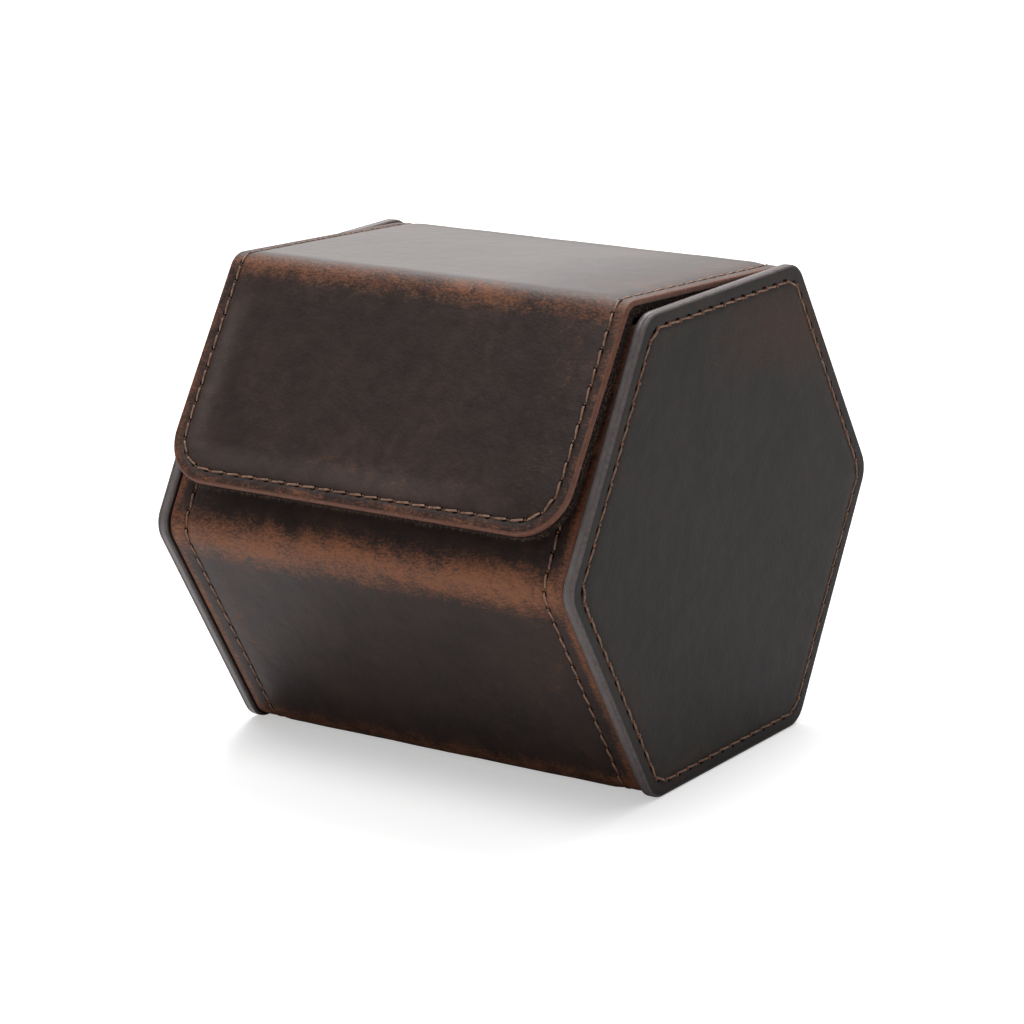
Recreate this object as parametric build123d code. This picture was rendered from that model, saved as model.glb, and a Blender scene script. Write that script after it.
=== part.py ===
from build123d import *
import os
from math import asin, atan2, cos, degrees, pi, radians, sin, tan

# Leather watch case: a hexagonal tube of board-stiffened leather between two hexagonal end panels.
# One strip of leather makes the wall, the lid and the flap, and folds where the boards leave a gap.
# The origin is under the middle of the case, +X runs along its width, -Y is the front, +Z is up.
# All sizes are millimetres. A depth is measured inward from the outer surface of the leather.

# End panels
panel_height = 90.0             # between the flat bottom edge and the flat top edge
case_width = 93.2               # over both end panels
panel_corner_radius = 5.5
panel_leather = 1.2
panel_backing = 1.2
panel_edge_rounding = 0.5
stiffener_thickness = 0.7
stiffener_inset = 5.0           # from the panel's outline, so that it ends inside the stitches

# Layers of the wall
wall_recess = 0.25              # the panels' outline stands this far proud of the wall
wrap_leather = 1.4
wall_board = 2.0
wall_lining = 1.0
wall_bend = 6.0                 # outer radius of the wall's folds
wall_end_gap = 0.2              # open seam between the wall's edge and each end panel
board_side_inset = 5.5          # the boards end inside the side stitches
board_fold_gap = 0.5            # from the start of a bend to the nearest board edge
board_corner_radius = 1.5
glue_line = 0.05
least_bend = 0.4
leather_edge_rounding = 0.45
touch = 0.001                   # a point this near to a line lies on it

# Lined plug inside each end panel, which holds the tube
plug_thickness = 3.0
plug_lid_clearance = 0.5

# Front wall under the flap, with a scoop that the pillow is lifted through
front_wall_top_gap = 1.5        # below the sharp corner of the hexagon
scoop_width = 68.0
scoop_corner_radius = 8.0
lip_cover = 19.58165            # how far the flap reaches down past the top of the lip
lip_board_inset = 4.5           # from the top of the lip

# Lid and flap
lid_end_gap = 0.25              # between the lid's edge and each end panel
lid_lining = 2.3                # thick suede, with a pocket for the board
lid_board = 1.2
lid_rise_gap = 0.8              # between the front wall's top and the lid's suede
flap_gap = 0.35                 # between the top of the front wall and the flap's suede
flap_lean = 2.8                 # degrees that the flap rests away from the front wall
flap_length = 45.0              # from the front fold to the flap's lower edge
flap_corner_radius = 9.5
front_bend = 4.5
rear_bend = 7.0
fold_flat = 2.8                 # flat run of a folding strip, past each end of its bend

# Magnets, which sit in holes through the lip board and the flap board
magnet_diameter = 7.0
magnet_spacing = 44.0
magnet_rise = 8.58165           # above the flap's lower edge
magnet_clearance = 0.1

# Watch pillow
pillow_depth = 60.0
pillow_height = 48.0
pillow_length = 64.0
pillow_cover = 1.2
pillow_cap = 1.4
pillow_cap_rounding = 0.6
pillow_crown = 2.2              # the section draws in by this much on each side at the ends
pillow_clearance = 0.3          # above the lining
pillow_stations = (-1, -0.8, -0.5, 0, 0.5, 0.8, 1)      # sections, as shares of the half length

# Places that follow from these sizes
axis_height = panel_height / 2
panel_inner_x = case_width / 2 - panel_leather - panel_backing
wall_half_width = panel_inner_x - wall_end_gap
lid_half_width = panel_inner_x - lid_end_gap
board_half_width = wall_half_width - board_side_inset
wall_apothem = panel_height / 2 - wall_recess
inner_depth = wrap_leather + wall_board + wall_lining
room_apothem = wall_apothem - inner_depth
lid_thickness = wrap_leather + lid_lining

# Directions in which the wall's faces look, as angles from the back
FACE_ANGLES = {
    "upper_back": 30,
    "upper_front": 150,
    "lower_front": 210,
    "bottom": 270,
    "lower_back": 330,
}


def half_side(apothem):
    """Half the side of a hexagon."""
    return apothem * tan(pi / 6)


def hexagon_corner(index, apothem):
    """Sharp corner of the hexagon, counted from the back one over the top, as (y, z)."""
    reach = apothem / cos(pi / 6)
    angle = index * pi / 3
    return Vector(reach * cos(angle), axis_height + reach * sin(angle))


def face_plane(angle, apothem):
    """Plane on a face of the hexagonal tube, with x along the case and z outward."""
    normal = Vector(0, cos(radians(angle)), sin(radians(angle)))
    return Plane(origin=Vector(0, 0, axis_height) + normal * apothem, x_dir=(1, 0, 0), z_dir=normal)


def on_plane_yz(point):
    """The (y, z) point in space, in the middle of the case."""
    return Vector(0, point.X, point.Y)


# The lid starts at the rear fold and rises to the front, where it lies over the front wall.
REAR_FOLD = hexagon_corner(1, wall_apothem)
FRONT_FACE = face_plane(FACE_ANGLES["upper_front"], wall_apothem)
front_wall_top = half_side(wall_apothem) - front_wall_top_gap
WALL_TOP = FRONT_FACE.from_local_coords(Vector(0, front_wall_top, 0))
wall_top_ahead = REAR_FOLD.X - WALL_TOP.Y
wall_top_above = WALL_TOP.Z - REAR_FOLD.Y
wall_top_distance = (wall_top_ahead**2 + wall_top_above**2) ** 0.5
lid_slope = atan2(wall_top_above, wall_top_ahead) + asin((lid_thickness + lid_rise_gap) / wall_top_distance)

# The flap rests on the top of the front wall and leans away from it below. The front fold is where
# the lid's outer surface meets the flap's.
flap_angle = FACE_ANGLES["upper_front"] - flap_lean
flap_normal = Vector(cos(radians(flap_angle)), sin(radians(flap_angle)))
flap_run = Vector(-flap_normal.Y, flap_normal.X)
axis_point = Vector(0, axis_height)
wall_top_reach = (Vector(WALL_TOP.Y, WALL_TOP.Z) - axis_point).dot(flap_normal)
flap_apothem = wall_top_reach + flap_gap + lid_thickness
lid_run = Vector(-cos(lid_slope), sin(lid_slope))
lid_length = (flap_apothem - (REAR_FOLD - axis_point).dot(flap_normal)) / lid_run.dot(flap_normal)
FRONT_FOLD = REAR_FOLD + lid_run * lid_length

LID_PLANE = Plane(
    origin=on_plane_yz(REAR_FOLD), x_dir=(1, 0, 0), z_dir=(0, sin(lid_slope), cos(lid_slope))
)
FLAP_PLANE = face_plane(flap_angle, flap_apothem)
flap_top = FLAP_PLANE.to_local_coords(on_plane_yz(FRONT_FOLD)).Y
flap_bottom = flap_top - flap_length

# A magnet in the wall lies as far from the front fold as the one in the flap that it meets.
wall_fold_height = FRONT_FACE.to_local_coords(on_plane_yz(FRONT_FOLD)).Y
flap_magnet_height = flap_bottom + magnet_rise
wall_magnet_height = wall_fold_height - (flap_top - flap_magnet_height)
lip_rise = wall_fold_height - (flap_length - lip_cover)

# A folding strip runs past its bend on both sides of its fold line.
rear_reach = rear_bend * tan((pi / 3 - lid_slope) / 2) + fold_flat
front_reach = front_bend * tan((pi / 3 - radians(flap_lean) + lid_slope) / 2) + fold_flat


def inset_points(points, depth):
    """Corners of an open outline, moved to its left by a depth."""
    runs = [(end - start).normalized() for start, end in zip(points, points[1:])]
    lefts = [Vector(-run.Y, run.X) for run in runs]
    moved = [points[0] + lefts[0] * depth]
    for corner, before, after in zip(points[1:-1], lefts, lefts[1:]):
        moved.append(corner + (before + after) * (depth / (1 + before.dot(after))))
    moved.append(points[-1] + lefts[-1] * depth)
    return moved


def folded_line(points, depth, bend):
    """Line at a depth under a folded surface, with round bends that share their centres."""
    return FilletPolyline(*inset_points(points, depth), radius=max(bend - depth, least_bend))


def folded_sheet(points, near, far, bend, half_width):
    """Layer between two depths under a folded surface, along the width of the case."""
    outer = folded_line(points, near, bend)
    inner = folded_line(points, far, bend)
    ends = [Line(outer @ 0, inner @ 0), Line(outer @ 1, inner @ 1)]
    section = make_face([*outer.edges(), *inner.edges(), *ends])
    return extrude(Plane.YZ * section, amount=half_width, both=True)


def layer(plane, outline, near, far):
    """Flat layer between two depths under an outer surface."""
    return extrude(plane.offset(-near) * outline, amount=near - far)


def sanded_round(leather, lines):
    """Leather with its outer edges sanded round where they run along the lines."""
    edges = [
        edge for edge in leather.edges() if any(line.distance_to(edge @ 0.5) < touch for line in lines)
    ]
    return fillet(edges, leather_edge_rounding)


def folded_leather(points, bend, half_width):
    """Folded piece of the leather wrap, with its two long sides sanded round."""
    leather = folded_sheet(points, 0, wrap_leather, bend, half_width)
    rim = folded_line(points, 0, bend)
    return sanded_round(leather, [Plane.YZ.offset(x) * rim for x in (-half_width, half_width)])


def flat_leather(plane, outline, free_edges):
    """Flat piece of the leather wrap, with the edges that join no neighbour sanded round."""
    leather = layer(plane, outline, 0, wrap_leather)
    return sanded_round(leather, [plane * edge for edge in free_edges])


def strip_outline(half_width, low, high, corner_radius=0.0):
    """Rectangle between two heights on a face, with its two lower corners rounded."""
    outline = Pos(0, (low + high) / 2) * Rectangle(2 * half_width, high - low)
    if corner_radius > 0:
        outline = fillet(outline.vertices().group_by(Axis.Y)[0], corner_radius)
    return outline


def board_outline(half_width, low, high, grow=0.0):
    """Board between two heights on a face, with rounded corners, or the pocket it lies in."""
    outline = RectangleRounded(
        2 * (half_width + grow), high - low + 2 * grow, board_corner_radius + grow
    )
    return Pos(0, (low + high) / 2) * outline


def both_sides(solid):
    """The right-hand piece and its mirror image."""
    return {"right": solid, "left": mirror(solid, about=Plane.YZ)}


# End panels

def panel_outline(inset):
    """Rounded hexagon, a distance inside the panel's edge."""
    outline = RegularPolygon(panel_height / 2 - inset, 6, major_radius=False)
    outline = fillet(outline.vertices(), max(panel_corner_radius - inset, least_bend))
    return Pos(0, axis_height) * outline


def panel_layer(inset, start_x, thickness):
    """Flat piece of the right-hand end panel, from start_x outward."""
    return extrude(Plane.YZ.offset(start_x) * panel_outline(inset), amount=thickness)


def make_panel_leather():
    """Outer leather, with its outer edge sanded round."""
    leather = panel_layer(0, case_width / 2 - panel_leather, panel_leather)
    rim = leather.faces().sort_by(Axis.X)[-1].edges()
    return fillet(rim, panel_edge_rounding)


def make_panel_stiffener():
    """Board between the two leathers."""
    start_x = case_width / 2 - panel_leather - stiffener_thickness
    return panel_layer(stiffener_inset, start_x, stiffener_thickness)


def make_panel_backing():
    """Backing leather, pressed round the board, with its inner edge sanded round."""
    backing = panel_layer(0, panel_inner_x, panel_backing)
    rim = backing.faces().sort_by(Axis.X)[0].edges()
    backing = fillet(rim, panel_edge_rounding)
    start_x = case_width / 2 - panel_leather - stiffener_thickness - glue_line
    pocket = panel_layer(stiffener_inset - glue_line, start_x, stiffener_thickness + glue_line)
    return backing - pocket


def make_end_plug():
    """Lined plug that fits the inside of the tube, cut back under the lid."""
    outline = RegularPolygon(room_apothem - glue_line, 6, major_radius=False)
    outline = fillet(outline.vertices(), max(wall_bend - inner_depth, least_bend) + glue_line)
    plug = extrude(
        Plane.YZ.offset(panel_inner_x - plug_thickness) * (Pos(0, axis_height) * outline),
        amount=plug_thickness,
    )
    above_lid = -(lid_thickness + plug_lid_clearance)
    lid_room = extrude(
        LID_PLANE.offset(above_lid) * Rectangle(2 * case_width, 2 * case_width), amount=panel_height
    )
    return plug - lid_room


# Wall

def wall_points():
    """Outer corners of the wall, from the top of its front round the bottom to the rear fold."""
    front_top = Vector(WALL_TOP.Y, WALL_TOP.Z)
    corners = [hexagon_corner(index, wall_apothem) for index in (3, 4, 5, 6)]
    down_the_back = (corners[-1] - REAR_FOLD).normalized()
    return [front_top, *corners, REAR_FOLD + down_the_back * rear_reach]


def scoop_outline():
    """Wide scoop with round lower corners, open at the top of the front wall."""
    height = 2 * (front_wall_top - lip_rise)
    return Pos(0, lip_rise + height / 2) * RectangleRounded(scoop_width, height, scoop_corner_radius)


def scoop():
    """Room that the scoop takes out of the upper front wall."""
    return layer(FRONT_FACE, scoop_outline(), -wall_recess, inner_depth + wall_recess)


def make_body_leather():
    """Leather wrap of the wall, with its sides and the rim of its scoop sanded round."""
    leather = folded_leather(wall_points(), wall_bend, wall_half_width) - scoop()
    return sanded_round(leather, [FRONT_FACE * edge for edge in scoop_outline().edges()])


def board_limits(face):
    """Lowest and highest edge of a wall board, along its face."""
    bend_start = max(wall_bend, rear_bend) * tan(pi / 6)
    limit = half_side(wall_apothem) - bend_start - board_fold_gap
    if face == "upper_front":
        return -limit, lip_rise - lip_board_inset
    if face == "upper_back":
        return -half_side(wall_apothem) + rear_reach + board_fold_gap, limit
    return -limit, limit


def wall_board_solid(face, grow=0.0):
    """Board of one face of the wall, or its pocket in the lining."""
    low, high = board_limits(face)
    outline = board_outline(board_half_width, low, high, grow)
    plane = face_plane(FACE_ANGLES[face], wall_apothem)
    return layer(plane, outline, wrap_leather, wrap_leather + wall_board + grow)


def magnet_discs(plane, height, thickness, grow=0.0):
    """The two magnets of a board at a height on its face, or the holes that they sit in."""
    places = Locations((-magnet_spacing / 2, height), (magnet_spacing / 2, height))
    discs = Sketch() + [place * Circle(magnet_diameter / 2 + grow) for place in places]
    return layer(plane, discs, wrap_leather, wrap_leather + thickness)


def make_wall_boards():
    """The five boards of the wall; the one in the lip has holes for the magnets."""
    boards = {face: wall_board_solid(face) for face in FACE_ANGLES}
    holes = magnet_discs(FRONT_FACE, wall_magnet_height, wall_board, magnet_clearance)
    boards["upper_front"] = boards["upper_front"] - holes
    return boards


def make_body_lining():
    """Suede lining, which meets the leather round each board."""
    lining = folded_sheet(
        wall_points(), wrap_leather + glue_line, inner_depth, wall_bend, wall_half_width
    )
    for face in FACE_ANGLES:
        lining = lining - wall_board_solid(face, glue_line)
    return lining - scoop()


# Folds, lid and flap

def fold_points(fold, before, after, reach):
    """A fold with its two ends, towards a point before it and one after it."""
    start = fold + (before - fold).normalized() * reach
    end = fold + (after - fold).normalized() * reach
    return [start, fold, end]


def rear_fold_points():
    """Outer corners of the leather hinge between the upper back wall and the lid."""
    return fold_points(REAR_FOLD, hexagon_corner(0, wall_apothem), FRONT_FOLD, rear_reach)


def front_fold_points():
    """Outer corners of the rounded fold between the lid and the flap."""
    return fold_points(FRONT_FOLD, REAR_FOLD, FRONT_FOLD + flap_run, front_reach)


def make_fold_lining(points, bend, thickness):
    """Suede under the leather of a fold."""
    return folded_sheet(points, wrap_leather + glue_line, wrap_leather + thickness, bend, lid_half_width)


def lid_outline():
    """Outline of the lid between its two folds."""
    return strip_outline(lid_half_width, -(lid_length - front_reach), -rear_reach)


def make_lid_leather():
    """Leather of the lid, sanded round along its two ends of the case."""
    outline = lid_outline()
    return flat_leather(LID_PLANE, outline, outline.edges().filter_by(Axis.Y))


def lid_board_solid(grow=0.0):
    """Board of the lid, or its pocket."""
    low = -(lid_length - front_reach - board_fold_gap)
    high = -(rear_reach + board_fold_gap)
    outline = board_outline(board_half_width, low, high, grow)
    return layer(LID_PLANE, outline, wrap_leather, wrap_leather + lid_board + grow)


def flap_outline():
    """Outline of the flap below the front fold, with its rounded lower corners."""
    return strip_outline(lid_half_width, flap_bottom, flap_top - front_reach, flap_corner_radius)


def make_flap_leather():
    """Leather of the flap, sanded round all along its free edge."""
    outline = flap_outline()
    return flat_leather(FLAP_PLANE, outline, outline.edges().sort_by(Axis.Y)[:-1])


def flap_board_solid(grow=0.0):
    """Board of the flap, or its pocket."""
    low = flap_bottom + lip_board_inset
    high = flap_top - front_reach - board_fold_gap
    outline = board_outline(board_half_width, low, high, grow)
    return layer(FLAP_PLANE, outline, wrap_leather, wrap_leather + lid_board + grow)


def make_flap_board():
    """Flap board with holes for the magnets."""
    return flap_board_solid() - magnet_discs(FLAP_PLANE, flap_magnet_height, lid_board, magnet_clearance)


# Watch pillow

def pillow_section(x, inset):
    """Oval section of the pillow at a place along it."""
    drawn_in = pillow_crown * (2 * x / pillow_length) ** 2
    middle = axis_height - room_apothem + pillow_clearance + pillow_height / 2
    oval = Ellipse(pillow_depth / 2 - inset - drawn_in, pillow_height / 2 - inset - drawn_in)
    return Plane.YZ.offset(x) * (Pos(0, middle) * oval)


def pillow_body(inset, half_length):
    """Oval roll, fullest in the middle and drawn in towards its two ends."""
    return loft([pillow_section(share * half_length, inset) for share in pillow_stations], ruled=True)


def make_pillow_cover():
    """Suede sleeve round the foam."""
    half_length = pillow_length / 2 - pillow_cap
    bore = pillow_body(pillow_cover, half_length)
    return pillow_body(0, half_length) - bore


def make_pillow_cap():
    """Sewn suede disc on the right-hand end, with a rounded rim."""
    start_x = pillow_length / 2 - pillow_cap
    cap = extrude(pillow_section(start_x + glue_line, 0), amount=pillow_cap - glue_line, dir=(1, 0, 0))
    rim = cap.faces().sort_by(Axis.X)[-1].edges()
    return fillet(rim, pillow_cap_rounding)


def make_nodes():
    """Every piece of the case under its name."""
    nodes = {
        "body_leather": make_body_leather(),
        "body_lining": make_body_lining(),
        "rear_fold_leather": folded_leather(rear_fold_points(), rear_bend, lid_half_width),
        "rear_fold_lining": make_fold_lining(rear_fold_points(), rear_bend, wall_lining),
        "lid_leather": make_lid_leather(),
        "lid_board": lid_board_solid(),
        "lid_lining": layer(LID_PLANE, lid_outline(), wrap_leather, lid_thickness)
        - lid_board_solid(glue_line),
        "front_fold_leather": folded_leather(front_fold_points(), front_bend, lid_half_width),
        "front_fold_lining": make_fold_lining(front_fold_points(), front_bend, lid_lining),
        "flap_leather": make_flap_leather(),
        "flap_board": make_flap_board(),
        "flap_lining": layer(FLAP_PLANE, flap_outline(), wrap_leather, lid_thickness)
        - flap_board_solid(glue_line),
        "catch_magnets": magnet_discs(FRONT_FACE, wall_magnet_height, wall_board),
        "flap_magnets": magnet_discs(FLAP_PLANE, flap_magnet_height, lid_board),
        "pillow_core": pillow_body(pillow_cover + glue_line, pillow_length / 2 - pillow_cap - glue_line),
        "pillow_cover": make_pillow_cover(),
    }
    for face, board in make_wall_boards().items():
        name = "lip_board" if face == "upper_front" else face + "_board"
        nodes[name] = board
    paired = {
        "end_panel_{}_leather": make_panel_leather(),
        "end_panel_{}_stiffener": make_panel_stiffener(),
        "end_panel_{}_backing": make_panel_backing(),
        "end_plug_{}": make_end_plug(),
        "pillow_cap_{}": make_pillow_cap(),
    }
    for name, solid in paired.items():
        for side, piece in both_sides(solid).items():
            nodes[name.format(side)] = piece
    return nodes


def main():
    os.makedirs("parts", exist_ok=True)
    print("lid slope in degrees", round(degrees(lid_slope), 3))
    print("rear fold", REAR_FOLD, "front fold", FRONT_FOLD, "flap plane", flap_apothem, flap_top)
    for name, solid in make_nodes().items():
        export_step(solid, f"parts/{name}.step")


main()
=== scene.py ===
"""Looks of the leather watch case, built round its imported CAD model."""
import math
import random

import bpy
import numpy as np
from mathutils import Matrix, Vector
from mathutils.geometry import delaunay_2d_cdt


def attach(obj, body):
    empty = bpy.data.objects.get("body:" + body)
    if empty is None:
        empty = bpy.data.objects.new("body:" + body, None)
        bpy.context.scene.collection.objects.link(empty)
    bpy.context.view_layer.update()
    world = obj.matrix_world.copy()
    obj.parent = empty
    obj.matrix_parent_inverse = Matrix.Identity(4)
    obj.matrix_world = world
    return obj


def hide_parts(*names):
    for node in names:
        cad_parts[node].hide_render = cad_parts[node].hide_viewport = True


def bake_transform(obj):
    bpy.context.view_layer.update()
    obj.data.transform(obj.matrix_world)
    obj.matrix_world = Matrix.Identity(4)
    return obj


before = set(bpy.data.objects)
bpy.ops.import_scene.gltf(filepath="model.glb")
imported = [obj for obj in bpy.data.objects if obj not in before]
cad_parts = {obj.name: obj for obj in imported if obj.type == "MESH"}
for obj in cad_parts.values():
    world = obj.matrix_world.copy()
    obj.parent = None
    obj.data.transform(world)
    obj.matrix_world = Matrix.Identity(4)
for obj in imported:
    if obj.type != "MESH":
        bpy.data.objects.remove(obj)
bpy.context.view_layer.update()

MM = 0.001
SIDES = ((-1, "left"), (1, "right"))

# Sizes of the CAD model, in millimetres
AXIS_HEIGHT = 45.0
WALL_APOTHEM = 44.75
WALL_HALF_WIDTH = 44.0
LID_HALF_WIDTH = 43.95
LEATHER = 1.4
GLUE = 0.05
WALL_DEPTH = 4.4
BOARD_BOTTOM = 3.4
LID_DEPTH = 3.7
LID_BOARD_BOTTOM = 2.6
FOLD_SUEDE_DEPTH = LEATHER + 1.0
BOARD_HALF_WIDTH = 38.5
BOARD_GAP = 0.5
EDGE_BOARD_GAP = 4.5
FRONT_TOP = 24.3364
SCOOP_HALF_WIDTH = 34.0
SCOOP_RADIUS = 8.0
LIP_RISE = 2.0
LID_SLOPE = math.radians(3.5033)
LID_LENGTH = 54.3645
FLAP_LENGTH = 45.0
FLAP_FACES = math.radians(147.2)  # direction of the flap's outward side, from the rear over the top
FLAP_RADIUS = 9.5
WALL_BEND, REAR_BEND, FRONT_BEND = 6.0, 7.0, 4.5
FOLD_FLAT = 2.8
EDGE_ROUND = 0.45
PANEL_OUT, PANEL_IN = 46.6, 44.2
EDGE_CREASE = 45.75  # line between an end panel's leather and its backing
PANEL_APOTHEM = 45.0
PANEL_RADIUS = 5.5
PANEL_ROUND = 0.5
STIFFENER_INSET = 5.0
STIFFENER_DEPTH = 1.9
PLUG_IN = 41.2
PLUG_APOTHEM = 40.3
PLUG_RADIUS = 1.65
PLUG_LID_GAP = 0.5
PLUG_STEP = 2.0
PILLOW_MIDDLE = 28.95
PILLOW_HALF_DEPTH, PILLOW_HALF_HEIGHT, PILLOW_HALF_LENGTH = 30.0, 24.0, 32.0
PILLOW_CROWN = 2.2
PILLOW_CAP = 1.4

# Stitches: distance from the edge, and from one needle hole to the next
FLAP_SEAM, FLAP_PITCH = 2.5, 3.5
WALL_SEAM, WALL_PITCH = 3.95, 3.6
PANEL_SEAM, PANEL_PITCH = 2.9, 3.7
LIP_SEAM = 3.3
CAP_SEAM = 2.4

# Twisted thread: its radius, height over the leather, dive into the holes, strands and twist
THREAD_RADIUS, THREAD_LIFT, THREAD_DIVE = 0.19, 0.10, 0.34
STRANDS, STRAND_RELIEF, THREAD_TWIST = 3, 0.16, 7
STITCH_RINGS, STITCH_SIDES = 9, 9
STITCH_SLANT, STITCH_MARGIN = 0.13, 0.06
KNOT_SPREAD, KNOT_SHIFT = (0.8, 1.2), (-0.08, 0.08)
KNOT_LATITUDES = (-0.6, 0.0, 0.55, 1.05)
# Needle holes: radius of the knot, half sizes of the slot, a dark lens of painted shade in the hole, and
# its shift to the side
WRAP_HOLES, PANEL_HOLES = (0.22, (0.7, 0.42), 0.0), (0.40, (0.85, 0.30), -0.28)
SLOT_POINTS, SLOT_TURN = 12, 0.22

# Relief of the leather: how stitches draw it in, the swell at its edge and the crown of the lid
SEAM_SINK, GROOVE_DEPTH, GROOVE_WIDTH, EDGE_SWELL = 0.34, 0.14, 0.42, 0.08
LIP_GROOVE, PANEL_SINK, LID_CROWN = 0.12, 0.12, 0.35

# Place, turn and lens of the camera, fitted to the photo: metres, radians and millimetres
CAMERA_PLACE = (0.39608398, -0.57068198, 0.23420025)
AZIMUTH, ELEVATION, ROLL = 0.60854938, 0.27036311, -0.02166816
LENS, SENSOR = 133.2462, 36.0

# Area lamps: place, what each is aimed at, size in metres and power in watts
LAMPS = {
    "back_top": ((-0.25, 0.50, 1.0), (0, 0, 0.05), (0.8, 0.6), 10),
    "front_top": ((-0.1, -0.30, 1.1), (0, 0, 0.04), (0.7, 0.5), 6),
}
FLOOR_REACH, FLOOR_COLOUR, FLOOR_GLOW = 6.0, (0.80, 0.80, 0.80, 1), 0.47
WHITE = (1, 1, 1, 1)

# The world is bright towards one side: its strengths, and how squarely a ray faces it at each
BRIGHT_SIDE = (-0.45, 0.85, 0.28)
WORLD_DIM, WORLD_BRIGHT = 0.20, 1.25
DIM_FACING, BRIGHT_FACING = 0.15, 0.98


def smooth(low, high, value):
    """Smooth step from 0 at low to 1 at high."""
    t = np.clip((value - low) / (high - low), 0, 1)
    return t * t * (3 - 2 * t)


def bell(value, width):
    return np.exp(-((value / width) ** 2))


def hexagon_corner(index, apothem):
    reach = apothem / math.cos(math.pi / 6)
    angle = index * math.pi / 3
    return np.array([reach * math.cos(angle), AXIS_HEIGHT + reach * math.sin(angle)])


class Wrap:
    """The line that the leather's outer surface follows, seen from the end, as (y, z)."""

    def __init__(self, corners, bends):
        corners = [np.array(c, float) for c in corners]
        steps = [b - a for a, b in zip(corners, corners[1:])]
        lengths = [np.linalg.norm(v) for v in steps]
        ways = [v / n for v, n in zip(steps, lengths)]
        self.runs, self.bends = [], []
        s, used = 0.0, 0.0
        for i, way in enumerate(ways):
            turn, reach = 0.0, 0.0
            if i < len(bends):
                cross = way[0] * ways[i + 1][1] - way[1] * ways[i + 1][0]
                turn = math.atan2(cross, way @ ways[i + 1])
                reach = bends[i] * math.tan(turn / 2)
            straight = lengths[i] - used - reach
            start = corners[i] + way * used
            self.runs.append((s, start, way, None))
            s += straight
            if i < len(bends):
                tangent = corners[i + 1] - way * reach
                centre = tangent + bends[i] * np.array([-way[1], way[0]])
                arc = bends[i] * turn
                self.runs.append((s, centre, way, bends[i]))
                self.bends.append((s, s + arc, reach))
                s += arc
            used = reach
        self.length = s

    def before(self, bend, distance):
        """Place on the line at a distance before the sharp corner of a bend."""
        start, _, reach = self.bends[bend]
        return start - (distance - reach)

    def after(self, bend, distance):
        _, end, reach = self.bends[bend]
        return end + (distance - reach)

    def middle(self, bend):
        start, end, _ = self.bends[bend]
        return (start + end) / 2

    def at(self, s):
        """Points and outward directions at places along the line."""
        s = np.asarray(s, float)
        points, outward = np.zeros((len(s), 2)), np.zeros((len(s), 2))
        for index, (start, origin, way, radius) in enumerate(self.runs):
            inside = s >= start if index else np.ones(len(s), bool)
            along = s[inside] - start
            out = np.array([way[1], -way[0]])
            if radius is None:
                points[inside] = origin + along[:, None] * way
                outward[inside] = out
            else:
                c, n = np.cos(along / radius), np.sin(along / radius)
                turned = np.column_stack([out[0] * c - out[1] * n, out[0] * n + out[1] * c])
                points[inside] = origin + turned * radius
                outward[inside] = turned
        return points, outward

    def place(self, x, s, height):
        """Points in the row frame, in metres."""
        points, outward = self.at(s)
        at = points + outward * np.asarray(height)[:, None]
        return np.column_stack([x, at]) * MM


AXIS = np.array([0.0, AXIS_HEIGHT])
FRONT_OUT = np.array([-math.sqrt(0.75), 0.5])
FRONT_UP = np.array([0.5, math.sqrt(0.75)])
WALL_TOP = AXIS + FRONT_OUT * WALL_APOTHEM + FRONT_UP * FRONT_TOP
REAR_CORNER = hexagon_corner(1, WALL_APOTHEM)
LID_WAY = np.array([-math.cos(LID_SLOPE), math.sin(LID_SLOPE)])
FRONT_CORNER = REAR_CORNER + LID_WAY * LID_LENGTH
FLAP_END = FRONT_CORNER + np.array([-math.sin(FLAP_FACES), math.cos(FLAP_FACES)]) * FLAP_LENGTH
WALL_CORNERS = [hexagon_corner(i, WALL_APOTHEM) for i in (3, 4, 5, 6)]
WRAP = Wrap(
    [WALL_TOP, *WALL_CORNERS, REAR_CORNER, FRONT_CORNER, FLAP_END],
    [WALL_BEND] * 4 + [REAR_BEND, FRONT_BEND],
)
REAR, FRONT = 4, 5
WALL_END = WRAP.bends[REAR][0] - FOLD_FLAT
LID_START = WRAP.bends[REAR][1] + FOLD_FLAT
LID_END = WRAP.bends[FRONT][0] - FOLD_FLAT
FLAP_START = WRAP.bends[FRONT][1] + FOLD_FLAT
LIP = FRONT_TOP - LIP_RISE

# Distances from the free edge at which the meshes have lines, close together round the stitches
RIM = [0, 0.035, 0.13, 0.28, 0.45, 0.9, 1.5]
BAND = [2.0, 2.25, 2.5, 2.75, 3.0, 3.35, 3.7, 3.95, 4.2, 4.55, 5.0, 5.8, 6.8, 8.0, 9.5]
INSETS = RIM + BAND
MIDDLE_COLUMNS = 29
NO_EDGE = 9.0  # the inset of a surface that shows no cut edge
FLAT_STEP, BEND_STEP = 2.2, 0.75


def columns(half_width):
    """Places of the mesh lines across the case."""
    left = [-half_width + inset for inset in INSETS]
    inner = half_width - INSETS[-1]
    middle = list(np.linspace(-inner, inner, MIDDLE_COLUMNS))[1:-1]
    return np.array(left + middle + [-x for x in reversed(left)])


def rows(start, end):
    """Places of the mesh lines along the leather, closer in the bends."""
    marks = {start, end}
    for bend_start, bend_end, _ in WRAP.bends:
        marks |= {m for m in (bend_start, bend_end) if start < m < end}
    marks = sorted(marks)
    found = []
    for a, b in zip(marks, marks[1:]):
        bent = any(s - 1e-6 <= a and b <= e + 1e-6 for s, e, _ in WRAP.bends)
        count = max(1, math.ceil((b - a) / (BEND_STEP if bent else FLAT_STEP) - 1e-6))
        found += list(np.linspace(a, b, count + 1)[:-1])
    return np.array(found + [end])


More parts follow.
